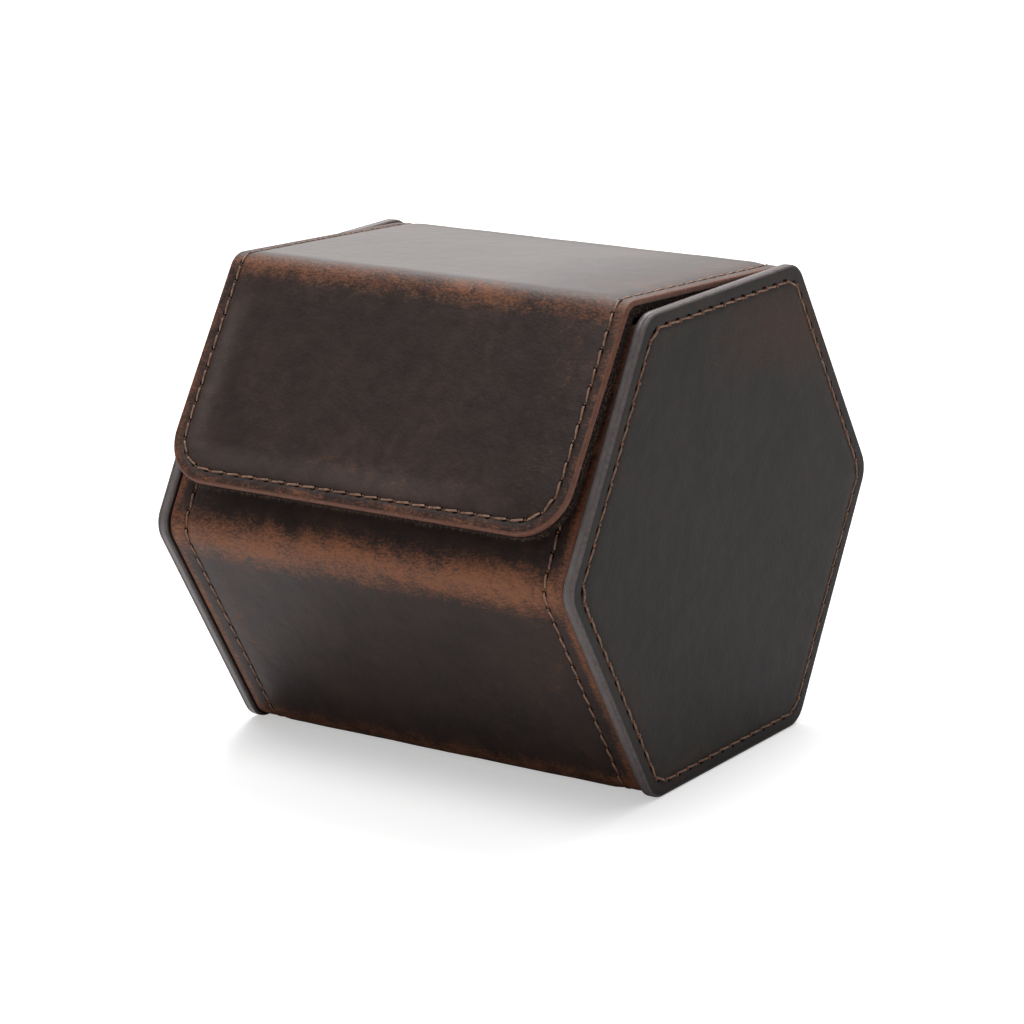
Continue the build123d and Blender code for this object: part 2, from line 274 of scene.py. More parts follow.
class Flat:
    """A mesh laid flat, as points (u, v) and faces that turn left."""

    def __init__(self):
        self.points, self.index, self.faces = [], {}, []

    def point(self, u, v):
        key = (round(u * 1e4), round(v * 1e4))
        if key not in self.index:
            self.index[key] = len(self.points)
            self.points.append((u, v))
        return self.index[key]

    def face(self, corners):
        found = []
        for u, v in corners:
            i = self.point(u, v)
            if i not in found:
                found.append(i)
        if len(found) < 3:
            return
        p = np.array([self.points[i] for i in found])
        area = np.sum(p[:, 0] * np.roll(p[:, 1], -1) - np.roll(p[:, 0], -1) * p[:, 1])
        if abs(area) > 1e-8:
            self.faces.append(found if area > 0 else found[::-1])

    def patch(self, grid):
        """Quads over an array of points, rows by columns."""
        for a, b in zip(grid, grid[1:]):
            for i in range(len(a) - 1):
                self.face([a[i], a[i + 1], b[i + 1], b[i]])

    def grid(self, us, vs):
        self.patch([[(u, v) for u in us] for v in vs])

    def rings(self, loops):
        """Quads between closed loops of equal length, with the last one filled."""
        for a, b in zip(loops, loops[1:]):
            for i in range(len(a)):
                j = (i + 1) % len(a)
                self.face([a[i], a[j], b[j], b[i]])
        self.face(loops[-1])

    def uv(self):
        return np.array(self.points, float).T

    def rim_edges(self):
        """Edges that one face has, in that face's direction."""
        seen = {}
        for face in self.faces:
            for a, b in zip(face, face[1:] + face[:1]):
                seen[(a, b)] = (b, a) not in seen
                if (b, a) in seen:
                    seen[(a, b)] = seen[(b, a)] = False
        return [edge for edge, single in seen.items() if single]


def link(name, data):
    obj = bpy.data.objects.new(name, data)
    bpy.context.scene.collection.objects.link(obj)
    return obj


def add_object(name, verts, faces, materials, slot_ids=None):
    mesh = bpy.data.meshes.new(name)
    mesh.from_pydata([tuple(v) for v in verts], [], faces)
    mesh.validate()
    for material in materials:
        mesh.materials.append(material)
    if slot_ids is not None:
        mesh.polygons.foreach_set("material_index", np.array(slot_ids, np.int32))
    mesh.polygons.foreach_set("use_smooth", [True] * len(mesh.polygons))
    return link(name, mesh)


def set_floats(obj, name, values):
    data = obj.data.attributes.new(name, "FLOAT", "POINT").data
    data.foreach_set("value", np.asarray(values, np.float32))


def set_vectors(obj, name, values):
    data = obj.data.attributes.new(name, "FLOAT_VECTOR", "POINT").data
    data.foreach_set("vector", np.asarray(values, np.float32).ravel())


def sharpen(obj, pairs):
    """Keeps edges crisp in the shading."""
    wanted = {tuple(sorted(pair)) for pair in pairs}
    for edge in obj.data.edges:
        if tuple(sorted(edge.vertices)) in wanted:
            edge.use_edge_sharp = True


def thicken(name, flat, top, bottom, place, materials, looks, mirrored=False):
    """Closed piece between two heights over a flat mesh. looks(u, v) gives its attributes."""
    u, v = flat.uv()
    count = len(u)
    high, low = top(u, v), bottom(u, v)
    verts = np.vstack([place(u, v, high), place(u, v, low)])
    faces = [tuple(f) for f in flat.faces]
    slot_ids = [0] * len(faces)
    for f in flat.faces:
        faces.append(tuple(i + count for i in reversed(f)))
        slot_ids.append(len(materials) - 1)
    shown = looks(u, v)
    crisp, kinds = [], {}
    for a, b in flat.rim_edges():
        faces.append((b, a, a + count, b + count))
        slot_ids.append(0)
        joined = max(shown["inset"][a], shown["inset"][b]) > 0.01
        kinds.setdefault(a, set()).add(joined)
        kinds.setdefault(b, set()).add(joined)
        if joined or len(materials) == 1:
            crisp.append((a, b))
        if joined or len(materials) > 1:
            crisp.append((a + count, b + count))
    crisp += [(corner, corner + count) for corner, found in kinds.items() if len(found) == 2]
    if mirrored:
        faces = [tuple(reversed(f)) for f in faces]
    obj = add_object(name, verts, faces, materials, slot_ids)
    sharpen(obj, crisp)
    sheet = np.column_stack([np.tile(u, 2), np.tile(v, 2), np.concatenate([high, low])])
    set_vectors(obj, "sheet", sheet)
    for attribute, values in shown.items():
        set_floats(obj, attribute, np.tile(values, 2))
    return obj


def finish_piece(obj, slot, nodes=(), body=None, blend=None):
    """Parents a piece to its body, or bakes a folding piece's place into its mesh, and hides the CAD
    nodes it stands for. The slot is not used.
    """
    if blend:
        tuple(blend[2])
        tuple(blend[3])
        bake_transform(obj)
    else:
        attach(obj, body)
    if nodes:
        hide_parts(*nodes)
    return obj


def turns(count):
    """Angles at equal steps once round."""
    return np.arange(count) * 2 * math.pi / count


def tube_faces(rings, sides, first=0):
    """Quads between rings of points, which follow each other in a list."""
    faces = []
    for ring in range(rings - 1):
        for k in range(sides):
            a, b = first + ring * sides + k, first + ring * sides + (k + 1) % sides
            faces.append((a, b, b + sides, a + sides))
    return faces


# Materials

class Shader:
    """Short way to write the nodes of a material or of the world. Noise scales are per millimetre."""

    def __init__(self, owner, output="OutputMaterial"):
        if isinstance(owner, str):
            owner = bpy.data.materials.new(owner)
        owner.use_nodes = True
        self.material, self.tree = owner, owner.node_tree
        self.tree.nodes.clear()
        self.output = self.add(output)

    def add(self, kind, **values):
        """A node. Names in capitals are inputs, I0 the first of them, and the rest are properties."""
        node = self.tree.nodes.new("ShaderNode" + kind)
        for key, value in values.items():
            if key[0].islower():
                setattr(node, key, value)
                continue
            numbered = key[0] == "I" and key[1:].isdigit()
            socket = node.inputs[int(key[1:])] if numbered else node.inputs[key.replace("_", " ")]
            self.fill(socket, value)
        return node

    def fill(self, socket, value):
        if isinstance(value, bpy.types.NodeSocket):
            self.tree.links.new(value, socket)
        else:
            socket.default_value = value

    def math(self, operation, a, b=0.0, c=0.0, clamp=False):
        return self.add("Math", operation=operation, use_clamp=clamp, I0=a, I1=b, I2=c).outputs[0]

    def attribute(self, name, output="Fac"):
        return self.add("Attribute", attribute_name=name).outputs[output]

    def noise(self, coordinates, scale, detail=3.0, roughness=0.55, distortion=0.0):
        return self.add(
            "TexNoise", Vector=coordinates, Scale=scale, Detail=detail, Roughness=roughness,
            Distortion=distortion,
        ).outputs["Fac"]

    def range(self, value, low, high, to_low=0.0, to_high=1.0):
        return self.add(
            "MapRange", interpolation_type="SMOOTHSTEP", Value=value, From_Min=low, From_Max=high,
            To_Min=to_low, To_Max=to_high,
        ).outputs[0]

    def ramp(self, value, stops):
        node = self.add("ValToRGB", Fac=value)
        ramp = node.color_ramp
        while len(ramp.elements) < len(stops):
            ramp.elements.new(0.5)
        for element, (place, colour) in zip(ramp.elements, stops):
            element.position = place
            element.color = (*colour, 1)
        return node.outputs["Color"]

    def mix(self, factor, a, b):
        node = self.add("Mix", data_type="RGBA", I0=factor)
        for index, value in ((6, a), (7, b)):
            plain = not isinstance(value, bpy.types.NodeSocket)
            self.fill(node.inputs[index], (*value, 1) if plain else value)
        return node.outputs[2]

    def scaled(self, coordinates, scale):
        return self.add("VectorMath", operation="MULTIPLY", I0=coordinates, I1=scale).outputs[0]

    def bump(self, height, distance, strength=1.0, normal=None):
        node = self.add("Bump", Height=height, Distance=distance, Strength=strength)
        if normal is not None:
            self.tree.links.new(normal, node.inputs["Normal"])
        return node.outputs[0]

    def seen_directly(self):
        """1 for rays from the camera, and for those that have gone through glass."""
        path = self.add("LightPath").outputs
        return self.math("MAXIMUM", path["Is Camera Ray"], path["Is Transmission Ray"])

    def show(self, node):
        self.tree.links.new(node.outputs[0], self.output.inputs["Surface"])
        return self.material

    def surface(self, **values):
        return self.show(self.add("BsdfPrincipled", **values))


# Pale grey-tan for wax bloom and painted sheen, and the clear coat that the same attribute sets through
# BLOOM_COAT
WAX_BLOOM_AND_SHEEN, BLOOM_COAT = (0.19, 0.14, 0.12), 2.5
SCRATCH_TINT = 0.20


def darker(colour, share):
    return tuple(c * share for c in colour)


def leather_material(name, dark, base, light, worn, edge, roughness, wear_gain, gloss):
    """Waxed pull-up leather: lighter where it is bent or rubbed, with burnished cut edges, painted shade
    in the stitch grooves and a pale wax bloom that is partly painted sheen.
    """
    sh = Shader(name)
    sheet = sh.attribute("sheet", "Vector")
    cloud = sh.noise(sheet, 0.045, 3, 0.6, 0.6)
    patch = sh.noise(sheet, 0.28, 5, 0.62, 0.8)
    speck = sh.noise(sh.scaled(sheet, (0.6, 1.0, 1.0)), 2.4, 4, 0.75)
    fibre = sh.noise(sh.scaled(sheet, (0.5, 1.6, 1.0)), 1.3, 4, 0.7, 1.2)
    tone = sh.math("ADD", sh.math("MULTIPLY", cloud, 0.55), sh.math("MULTIPLY", patch, 0.45))
    ground = sh.ramp(tone, [(0.34, dark), (0.5, base), (0.70, light)])
    # Wax bloom and painted sheen: paler grey-tan where the looks ask for it
    bloom = sh.attribute("bloom")
    ground = sh.mix(sh.math("MULTIPLY", bloom, sh.range(patch, 0.2, 0.8, 0.7, 1.0)), ground, WAX_BLOOM_AND_SHEEN)
    broken = wear = sh.attribute("wear")
    for noise, share in ((patch, 1.0), (cloud, 1.0), (speck, 1.9), (fibre, 1.5)):
        broken = sh.math("MULTIPLY_ADD", sh.math("SUBTRACT", noise, 0.5), share, broken)
    felt = sh.math("MINIMUM", sh.math("MULTIPLY", wear, 2.2), 1.0)
    rubbed = sh.math("MULTIPLY", sh.range(broken, 0.22, 1.3), felt)
    colour = sh.mix(sh.math("MULTIPLY", rubbed, wear_gain, clamp=True), ground, worn)
    streak = sh.noise(sh.scaled(sheet, (0.25, 1.0, 1.0)), 0.9, 3, 0.5, 2.2)
    line = sh.range(sh.math("ABSOLUTE", sh.math("SUBTRACT", streak, 0.5)), 0.0, 0.012, 1.0, 0.0)
    scratch = sh.math("MULTIPLY", line, sh.range(sh.noise(sheet, 0.12, 2), 0.56, 0.72))
    colour = sh.mix(sh.math("MULTIPLY", scratch, SCRATCH_TINT), colour, worn)
    burnish = sh.range(sh.attribute("inset"), 0.20, 0.65, 1.0, 0.0)
    edge_tone = sh.mix(sh.range(sh.noise(sheet, 1.4, 4), 0.35, 0.75), edge, darker(edge, 0.65))
    colour = sh.mix(burnish, colour, edge_tone)
    # Painted shade in the stitch grooves: the leather turns near-black where the groove attribute is
    # high
    colour = sh.mix(sh.attribute("groove"), colour, darker(dark, 0.3))
    cells = sh.add("TexVoronoi", feature="F1", Vector=sheet, Scale=1.7, Randomness=1.0)
    pores = sh.math("POWER", cells.outputs["Distance"], 1.6)
    fine = sh.math("MULTIPLY", sh.noise(sheet, 3.4, 4, 0.6), 0.7)
    grain = sh.math("ADD", sh.math("MULTIPLY", pores, -0.5), fine)
    grain = sh.math("MULTIPLY_ADD", scratch, -0.25, grain)
    soft = sh.bump(sh.noise(sheet, 0.22, 3, 0.5), 0.5 * MM, 0.35)
    normal = sh.bump(grain, 0.07 * MM, 0.55, soft)
    rough = sh.math("MULTIPLY_ADD", sh.math("SUBTRACT", patch, 0.5), 0.22, roughness)
    rough = sh.math("MULTIPLY_ADD", rubbed, 0.10, rough)
    return sh.surface(
        Base_Color=colour, Roughness=rough, Normal=normal, Specular_IOR_Level=gloss,
        Coat_Weight=sh.math("MULTIPLY", bloom, BLOOM_COAT), Coat_Roughness=0.40, Coat_Normal=normal,
    )


def suede_material(name, dark, light, raw, sheen):
    """Napped suede, with pale fibres along its raw edges."""
    sh = Shader(name)
    sheet = sh.attribute("sheet", "Vector")
    nap = sh.noise(sheet, 1.1, 6, 0.75, 0.5)
    brushed = sh.noise(sheet, 0.11, 3, 0.5, 0.4)
    tone = sh.math("ADD", sh.math("MULTIPLY", nap, 0.7), sh.math("MULTIPLY", brushed, 0.3))
    colour = sh.ramp(tone, [(0.36, dark), (0.62, light)])
    fibre = sh.noise(sh.scaled(sheet, (1.0, 1.0, 1.8)), 1.9, 4, 0.8)
    at_edge = sh.range(sh.attribute("inset"), 0.05, 0.7, 1.0, 0.0)
    colour = sh.mix(sh.math("MULTIPLY", at_edge, 0.8), colour, darker(dark, 0.8))
    colour = sh.mix(sh.math("MULTIPLY", sh.range(fibre, 0.55, 0.63), at_edge), colour, raw)
    normal = sh.bump(sh.noise(sheet, 2.8, 6, 0.85), 0.22 * MM, 0.8)
    return sh.surface(
        Base_Color=colour, Roughness=0.95, Normal=normal, Specular_IOR_Level=0.12,
        Sheen_Weight=sheen, Sheen_Roughness=0.5,
    )


def speckled_material(name, tone, stops, rough, relief=None, stretch=None, in_node=False, **finish):
    """Noise picks colour and roughness. relief is a finer noise, its depth in mm and its strength."""
    sh = Shader(name)
    place = sh.add("TexCoord").outputs["Object"] if in_node else sh.attribute("sheet", "Vector")
    shade = sh.noise(place, *tone)
    if relief:
        fine, depth, strength = relief
        stretched = sh.scaled(place, stretch) if stretch else place
        finish["Normal"] = sh.bump(sh.noise(stretched, *fine), depth * MM, strength)
    return sh.surface(
        Base_Color=sh.ramp(shade, stops), Roughness=sh.range(shade, 0.3, 0.7, *rough), **finish
    )


WRAP_LEATHER = leather_material(
    "wrap_leather", dark=(0.019, 0.0105, 0.0090), base=(0.030, 0.0165, 0.0135),
    light=(0.048, 0.0265, 0.0195), worn=(0.270, 0.098, 0.043), edge=(0.185, 0.074, 0.046),
    roughness=0.50, wear_gain=0.95, gloss=0.34,
)
PANEL_LEATHER = leather_material(
    "panel_leather", dark=(0.0175, 0.0150, 0.0140), base=(0.0245, 0.0205, 0.0190),
    light=(0.036, 0.0275, 0.0235), worn=(0.085, 0.046, 0.032), edge=(0.150, 0.125, 0.123),
    roughness=0.56, wear_gain=0.7, gloss=0.2,
)
SUEDE = suede_material(
    "suede", dark=(0.008, 0.0048, 0.0038), light=(0.038, 0.021, 0.015), raw=(0.17, 0.09, 0.06),
    sheen=0.02,
)
PILLOW_SUEDE = suede_material(
    "pillow_suede", dark=(0.040, 0.028, 0.022), light=(0.075, 0.054, 0.043), raw=(0.10, 0.07, 0.055),
    sheen=0.12,
)
EDGE_PAINT = speckled_material(
    "painted_edge", (0.5, 4, 0.6), [(0.35, (0.115, 0.097, 0.095)), (0.65, (0.150, 0.126, 0.123))],
    rough=(0.32, 0.45), relief=((1.6, 4, 0.6), 0.04, 0.4),
)
THREAD = speckled_material(
    "waxed_thread", (0.9, 3, 0.6), [(0.35, (0.17, 0.082, 0.050)), (0.65, (0.36, 0.205, 0.135))],
    rough=(0.6, 0.75), relief=((3.0, 3, 0.6), 0.06, 0.6), stretch=(1.0, 6.0, 6.0),
)
# Thread where it is pulled tight in the needle holes, dark with wax
KNOT = speckled_material(
    "tight_thread", (1.6, 3, 0.6), [(0.35, (0.080, 0.026, 0.012)), (0.65, (0.27, 0.105, 0.046))],
    rough=(0.5, 0.7),
)
# Loose fibres of the suede's raw edges
FIBRE = speckled_material(
    "raw_fibre", (0.8, 3, 0.6), [(0.35, (0.10, 0.058, 0.040)), (0.65, (0.30, 0.205, 0.155))],
    rough=(0.8, 0.9),
)
# Painted shade of the needle holes: near-black lenses laid in each hole
NEEDLE_HOLE_SHADE = speckled_material(
    "needle_hole_shade", (2.0, 3, 0.6), [(0.35, (0.004, 0.003, 0.0025)), (0.65, (0.010, 0.007, 0.006))],
    rough=(0.85, 0.95), Specular_IOR_Level=0.1,
)
# Materials of CAD nodes, patterned in the node's own space, in metres
CARDBOARD = speckled_material(
    "pressed_board", (350, 5, 0.65), [(0.35, (0.27, 0.235, 0.19)), (0.65, (0.38, 0.335, 0.28))],
    rough=(0.79, 0.91), relief=((1200, 4, 0.7), 0.1, 0.6), in_node=True,
)
NICKEL = speckled_material(
    "nickel", (220, 5, 0.65), [(0.3, (0.55, 0.54, 0.52)), (0.7, (0.66, 0.65, 0.63))],
    rough=(0.18, 0.30), relief=((1200, 4, 0.7), 0.02, 0.6), in_node=True, Metallic=1.0,
)

for node_name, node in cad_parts.items():
    if "magnets" in node_name:
        look = NICKEL
    elif node_name.endswith(("board", "stiffener")):
        look = CARDBOARD
    else:
        continue
    node.data.materials.clear()
    node.data.materials.append(look)


# Shapes of the leather

def ripple(x, s):
    """Slight unevenness of leather laid on board."""
    return (
        0.05 * np.sin(x * 0.11 + 1.3) * np.sin(s * 0.085 + 0.4)
        + 0.025 * np.sin(x * 0.27 + s * 0.19 + 2.1)
        + 0.015 * np.sin(x * 0.61 - s * 0.43)
    )


def rounded_rim(inset, radius):
    """How far a rounded edge lies below the surface."""
    t = np.clip(inset / radius, 0, 1)
    return radius * (1 - np.sqrt(1 - (1 - t) ** 2))


def seam_inset(s):
    """Distance of the side stitches from the edge, which narrows over the rear fold."""
    return WALL_SEAM + (FLAP_SEAM - WALL_SEAM) * smooth(WALL_END, LID_START, s)


def stitched(inset, seam):
    """Height of the leather near its edge: pulled down along the stitches and level over the board."""
    band = SEAM_SINK * (1 - smooth(seam - 0.3, seam + 3.6, inset))
    groove = GROOVE_DEPTH * bell(inset - seam, GROOVE_WIDTH)
    swell = EDGE_SWELL * bell(inset - seam * 0.55, seam * 0.28)
    return swell - band - groove - rounded_rim(inset, EDGE_ROUND)


def scoop_distance(x, s):
    """Distance outside the scoop of the front wall."""
    across, down = np.abs(x) - SCOOP_HALF_WIDTH, s - LIP
    qx, qs = across + SCOOP_RADIUS, down + SCOOP_RADIUS
    outside = np.hypot(np.maximum(qx, 0), np.maximum(qs, 0)) - SCOOP_RADIUS
    return np.where((qx > 0) & (qs > 0), outside, np.maximum(across, down))


def wall_insets(x, s):
    """Distances from the wall's side edges and from its nearest free edge."""
    side = WALL_HALF_WIDTH - np.abs(x)
    above_bend = s < WRAP.middle(0)
    near = np.minimum(side, np.where(above_bend, scoop_distance(x, s), 99.0))
    return side, np.minimum(near, np.where(above_bend, s, 99.0))


def wall_free(x, s):
    return wall_insets(x, s)[1]


def wall_height(x, s):
    side, free = wall_insets(x, s)
    lip = LIP_GROOVE * bell(s - LIP - LIP_SEAM, GROOVE_WIDTH) * smooth(0.3, 1.2, side - WALL_SEAM)
    height = stitched(side, WALL_SEAM) + ripple(x, s) * smooth(5, 9, side)
    rim = np.where(free < side, rounded_rim(free, EDGE_ROUND), 0)
    return height - lip - rim


FLAP_INNER = LID_HALF_WIDTH - FLAP_RADIUS
CORNER_ROW = WRAP.length - FLAP_RADIUS


def flap_corner(inset, steps, side=1):
    """Arc at a distance inside the flap's round corner, from its side edge to its lower one."""
    radius = FLAP_RADIUS - inset
    return [
        (side * (FLAP_INNER + radius * math.cos(a)), CORNER_ROW + radius * math.sin(a))
        for a in np.linspace(0, math.pi / 2, steps)
    ]


def with_mirror(points):
    """A line from the right side and back again on the left one."""
    return points + [(-x, s) for x, s in reversed(points)]


def flap_inset(x, s):
    """Distance from the lid's and flap's free edge, with the flap's round corners."""
    side = LID_HALF_WIDTH - np.abs(x)
    end = WRAP.length - s
    qx, qs = FLAP_RADIUS - side, FLAP_RADIUS - end
    corner = FLAP_RADIUS - np.hypot(np.maximum(qx, 0), np.maximum(qs, 0))
    return np.where((qx > 0) & (qs > 0), corner, np.minimum(side, end))


def lid_height(x, s):
    inset = flap_inset(x, s)
    on_lid = smooth(LID_START, LID_START + 16, s) * (1 - smooth(LID_END - 16, LID_END, s))
    crown = LID_CROWN * on_lid * (1 - (x / LID_HALF_WIDTH) ** 2)
    return crown + stitched(inset, seam_inset(s)) + ripple(x, s) * smooth(5, 9, inset)


# Wear of each bend: its strength, half width and shift along the leather
BEND_WEAR = {
    0: (1.00, 5.6, 1.0), 1: (0.80, 4.5, -1.0), 2: (0.5, 3.5, 0.0), 3: (0.62, 4.5, 2.0),
    REAR: (0.60, 4.5, 0.0), FRONT: (0.70, 3.6, 1.5),
}


def wear_at(s, inset, seam):
    """Where the leather is bent or rubbed, from 0 to 1."""
    wear = 0.0 * s
    for bend, (strength, width, shift) in BEND_WEAR.items():
        wear = np.maximum(wear, strength * bell(s - WRAP.middle(bend) - shift, width))
    wear = np.maximum(wear, 0.20 * bell(inset - seam - 4.0, 3.5))
    return np.maximum(wear, 0.48 * bell(inset - 0.8, 1.5))


def leather_looks(s, inset, free, seam):
    on_top = smooth(WRAP.middle(REAR), LID_START, s) * (1 - smooth(LID_END + 1, WRAP.middle(FRONT), s))
    return {
        "inset": free,
        "wear": wear_at(s, inset, seam),
        # Painted shade along the stitch row, stronger on the lid top
        "groove": (0.45 + 0.35 * on_top) * bell(inset - seam, 0.5),
        # Wax bloom and painted sheen on the lid top, inside the stitches
        "bloom": 0.2 * on_top * smooth(seam - 0.5, seam + 3, inset),
    }


def wall_looks(x, s):
    side, free = wall_insets(x, s)
    looks = leather_looks(s, side, free, WALL_SEAM)
    looks["wear"] = np.maximum(looks["wear"], 0.80 * bell(side - 0.8, 1.2))
    return looks


def lid_looks(x, s):
    inset = flap_inset(x, s)
    looks = leather_looks(s, inset, inset, seam_inset(s))
    right = smooth(5, LID_HALF_WIDTH, x)
    on_flap = smooth(WRAP.middle(FRONT) + 5, WRAP.middle(FRONT) + 12, s)
    rubbed_side = 0.30 * on_flap * bell(x - LID_HALF_WIDTH + FLAP_SEAM + 5, 5)
    looks["wear"] = np.maximum(looks["wear"], np.maximum(0.34 * right * (1 - on_flap), rubbed_side))
    # Painted sheen: a paler band just inside the flap's stitches, along its bottom and left side; the
    # lid's wax bloom and painted sheen fade towards its right end
    sheen = 0.16 * on_flap * (1 - right) * bell(inset - FLAP_SEAM - 2.6, 2.2)
    looks["bloom"] = np.maximum(looks["bloom"] * (1 - 0.75 * right), sheen)
    return looks


def no_edge(u, v):
    """Looks of suede that shows no cut edge."""
    return {"inset": np.full(len(u), NO_EDGE)}


def level(depth):
    return lambda u, v: np.full(len(u), -depth)


def scoop_ring(inset, bottom):
    """Line along the wall's free edge at the front, a distance inside it, from left to right."""
    edge = WALL_HALF_WIDTH - inset
    inner = SCOOP_HALF_WIDTH + inset
    left = [(-edge, s) for s in np.linspace(bottom, inset, 16)]
    left += [(x, inset) for x in np.linspace(-edge, -inner, 8)[1:]]
    left += [(-inner, s) for s in np.linspace(inset, LIP - SCOOP_RADIUS, 9)[1:]]
    radius = SCOOP_RADIUS + inset
    centre = (-SCOOP_HALF_WIDTH + SCOOP_RADIUS, LIP - SCOOP_RADIUS)
    for angle in np.linspace(0, math.pi / 2, 11)[1:]:
        left.append((centre[0] - radius * math.cos(angle), centre[1] + radius * math.sin(angle)))
    lip_line = [(x, LIP + inset) for x in np.linspace(centre[0], -centre[0], 27)[1:-1]]
    return left + lip_line + [(-x, s) for x, s in reversed(left)]


# Mesh lines of the front wall: below the lip, close together round its stitches, and beside the scoop
BELOW_LIP = (5.0, 4.2, 3.75, 3.5, 3.3, 3.1, 2.85, 2.2)
BESIDE_SCOOP = np.linspace(LIP + 0.5, 2.6, 14)


def front_wall_mesh(flat, xs, bottom):
    """Fills the top of the front wall, round the scoop, down to a row of the wall's mesh."""
    rings = [scoop_ring(inset, bottom) for inset in RIM]
    points = list(rings[0])
    points += [(x, bottom) for x in xs[::-1] if abs(x) < WALL_HALF_WIDTH - 1e-6]
    outline = list(range(len(points)))
    for ring in rings[1:]:
        points += ring[1:-1]
    for s in [LIP + below for below in BELOW_LIP] + list(BESIDE_SCOOP):
        free = wall_free(xs, np.full(len(xs), s))
        points += [(x, s) for x, f in zip(xs, free) if f > RIM[-1] + 0.3]
    vertices, _, faces, *_ = delaunay_2d_cdt([Vector(p) for p in points], [], [outline], 1, 1e-5)
    for face in faces:
        corners = [tuple(vertices[i]) for i in face]
        middle = np.mean(corners, 0)
        if scoop_distance(middle[:1], middle[1:])[0] > 0:
            flat.face(corners)


def wall_mesh():
    flat = Flat()
    xs = columns(WALL_HALF_WIDTH)
    bottom = LIP + 6.0
    flat.grid(xs, rows(bottom, WALL_END))
    front_wall_mesh(flat, xs, bottom)
    return flat


def flap_mesh():
    """The flap down to its free edge, with lines that follow its round corners."""
    flat = Flat()
    xs = columns(LID_HALF_WIDTH)
    flat.grid(xs, rows(FLAP_START, CORNER_ROW))
    middle = [x for x in xs if abs(x) <= FLAP_INNER + 1e-6]
    flat.patch([[(x, WRAP.length - inset) for x in middle] for inset in INSETS])
    for side in (-1, 1):
        flat.patch([flap_corner(inset, 15, side) for inset in INSETS])
    return flat


def blend_between(first, second, start, end):
    """What a folding strip needs: its two bodies and where it starts and ends."""
    ends = WRAP.place([0, 0], [start, end], [0, 0])
    return {"blend": (first, second, tuple(ends[0]), tuple(ends[1]))}


# Parts of the wrap: where each lies along the leather and how it moves
PARTS = {
    "wall": (0.0, WALL_END, {"body": "case"}),
    "rear_fold": (WALL_END, LID_START, blend_between("case", "lid", WALL_END, LID_START)),
    "lid": (LID_START, LID_END, {"body": "lid"}),
    "front_fold": (LID_END, FLAP_START, blend_between("lid", "flap", LID_END, FLAP_START)),
    "flap": (FLAP_START, WRAP.length, {"body": "flap"}),
}


def part_mesh(part):
    if part == "wall":
        return wall_mesh()
    if part == "flap":
        return flap_mesh()
    flat = Flat()
    flat.grid(columns(LID_HALF_WIDTH), rows(*PARTS[part][:2]))
    return flat


def add_layer(name, part, top, bottom, materials, looks, slot, node):
    """One layer of a part of the wrap."""
    piece = thicken(name, part_mesh(part), top, bottom, WRAP.place, materials, looks, mirrored=True)
    finish_piece(piece, slot, [node], **PARTS[part][2])


for part in PARTS:
    name, top, looks, node = f"{part}_skin", lid_height, lid_looks, f"{part}_leather"
    if part == "wall":
        name, top, looks, node = "wall_leather", wall_height, wall_looks, "body_leather"
    add_layer(name, part, top, level(LEATHER), [WRAP_LEATHER, SUEDE], looks, "wrap_leather", node)


# Suede under the leather

def wall_boards():
    """Where each board of the wall starts and ends along the leather."""
    reach = REAR_BEND * math.tan(math.pi / 6) + BOARD_GAP
    boards = [(LIP + EDGE_BOARD_GAP, WRAP.before(0, reach))]
    boards += [(WRAP.after(bend, reach), WRAP.before(bend + 1, reach)) for bend in (0, 1, 2)]
    return boards + [(WRAP.after(3, reach), WALL_END - BOARD_GAP)]


WALL_BOARDS = wall_boards()
LID_BOARDS = [
    (LID_START + BOARD_GAP, LID_END - BOARD_GAP),
    (FLAP_START + BOARD_GAP, WRAP.length - EDGE_BOARD_GAP),
]


def pocketed(boards, board_bottom):
    """Upper side of a lining, which dips under each board."""
    def top(x, s):
        depth = np.full(len(x), LEATHER + GLUE / 2)
        for low, high in boards:
            under = (np.abs(x) < BOARD_HALF_WIDTH + GLUE) & (s > low - GLUE) & (s < high + GLUE)
            depth[under] = board_bottom + GLUE
        return -depth
    return top


def napped(depth, inset_of, amount):
    """Lower side of the suede, slightly uneven and rounded at its raw edge."""
    def bottom(x, s):
        rounded = rounded_rim(np.maximum(inset_of(x, s), 0.0), EDGE_ROUND)
        waves = np.sin(x * 1.7 + s * 0.9) * np.sin(s * 2.3 - x * 0.7)
        return -depth + rounded + amount * (0.5 + 0.5 * waves)
    return bottom


wall_under = napped(WALL_DEPTH, wall_free, 0.03)
lid_under = napped(LID_DEPTH, flap_inset, 0.08)
wall_pockets, lid_pockets = pocketed(WALL_BOARDS, BOARD_BOTTOM), pocketed(LID_BOARDS, LID_BOARD_BOTTOM)
fold_under = level(FOLD_SUEDE_DEPTH)

# Each part's suede: its name, its two sides and its node
LININGS = {
    "wall": ("wall_lining", wall_pockets, wall_under, "body_lining"),
    "rear_fold": ("rear_fold_suede", level(LEATHER + GLUE), fold_under, "rear_fold_lining"),
    "lid": ("lid_suede", lid_pockets, lid_under, "lid_lining"),
    "front_fold": ("front_fold_suede", level(LEATHER + GLUE / 2), lid_under, "front_fold_lining"),
    "flap": ("flap_suede", lid_pockets, lid_under, "flap_lining"),
}


def raw_looks(inset_of):
    return lambda x, s: {"inset": inset_of(x, s)}


for part, (name, top, bottom, node) in LININGS.items():
    looks = raw_looks(wall_free if part == "wall" else flap_inset)
    add_layer(name, part, top, bottom, [SUEDE], looks, "suede", node)


# End panels

def toward_angle(angle):
    return np.array([math.cos(angle), math.sin(angle)])


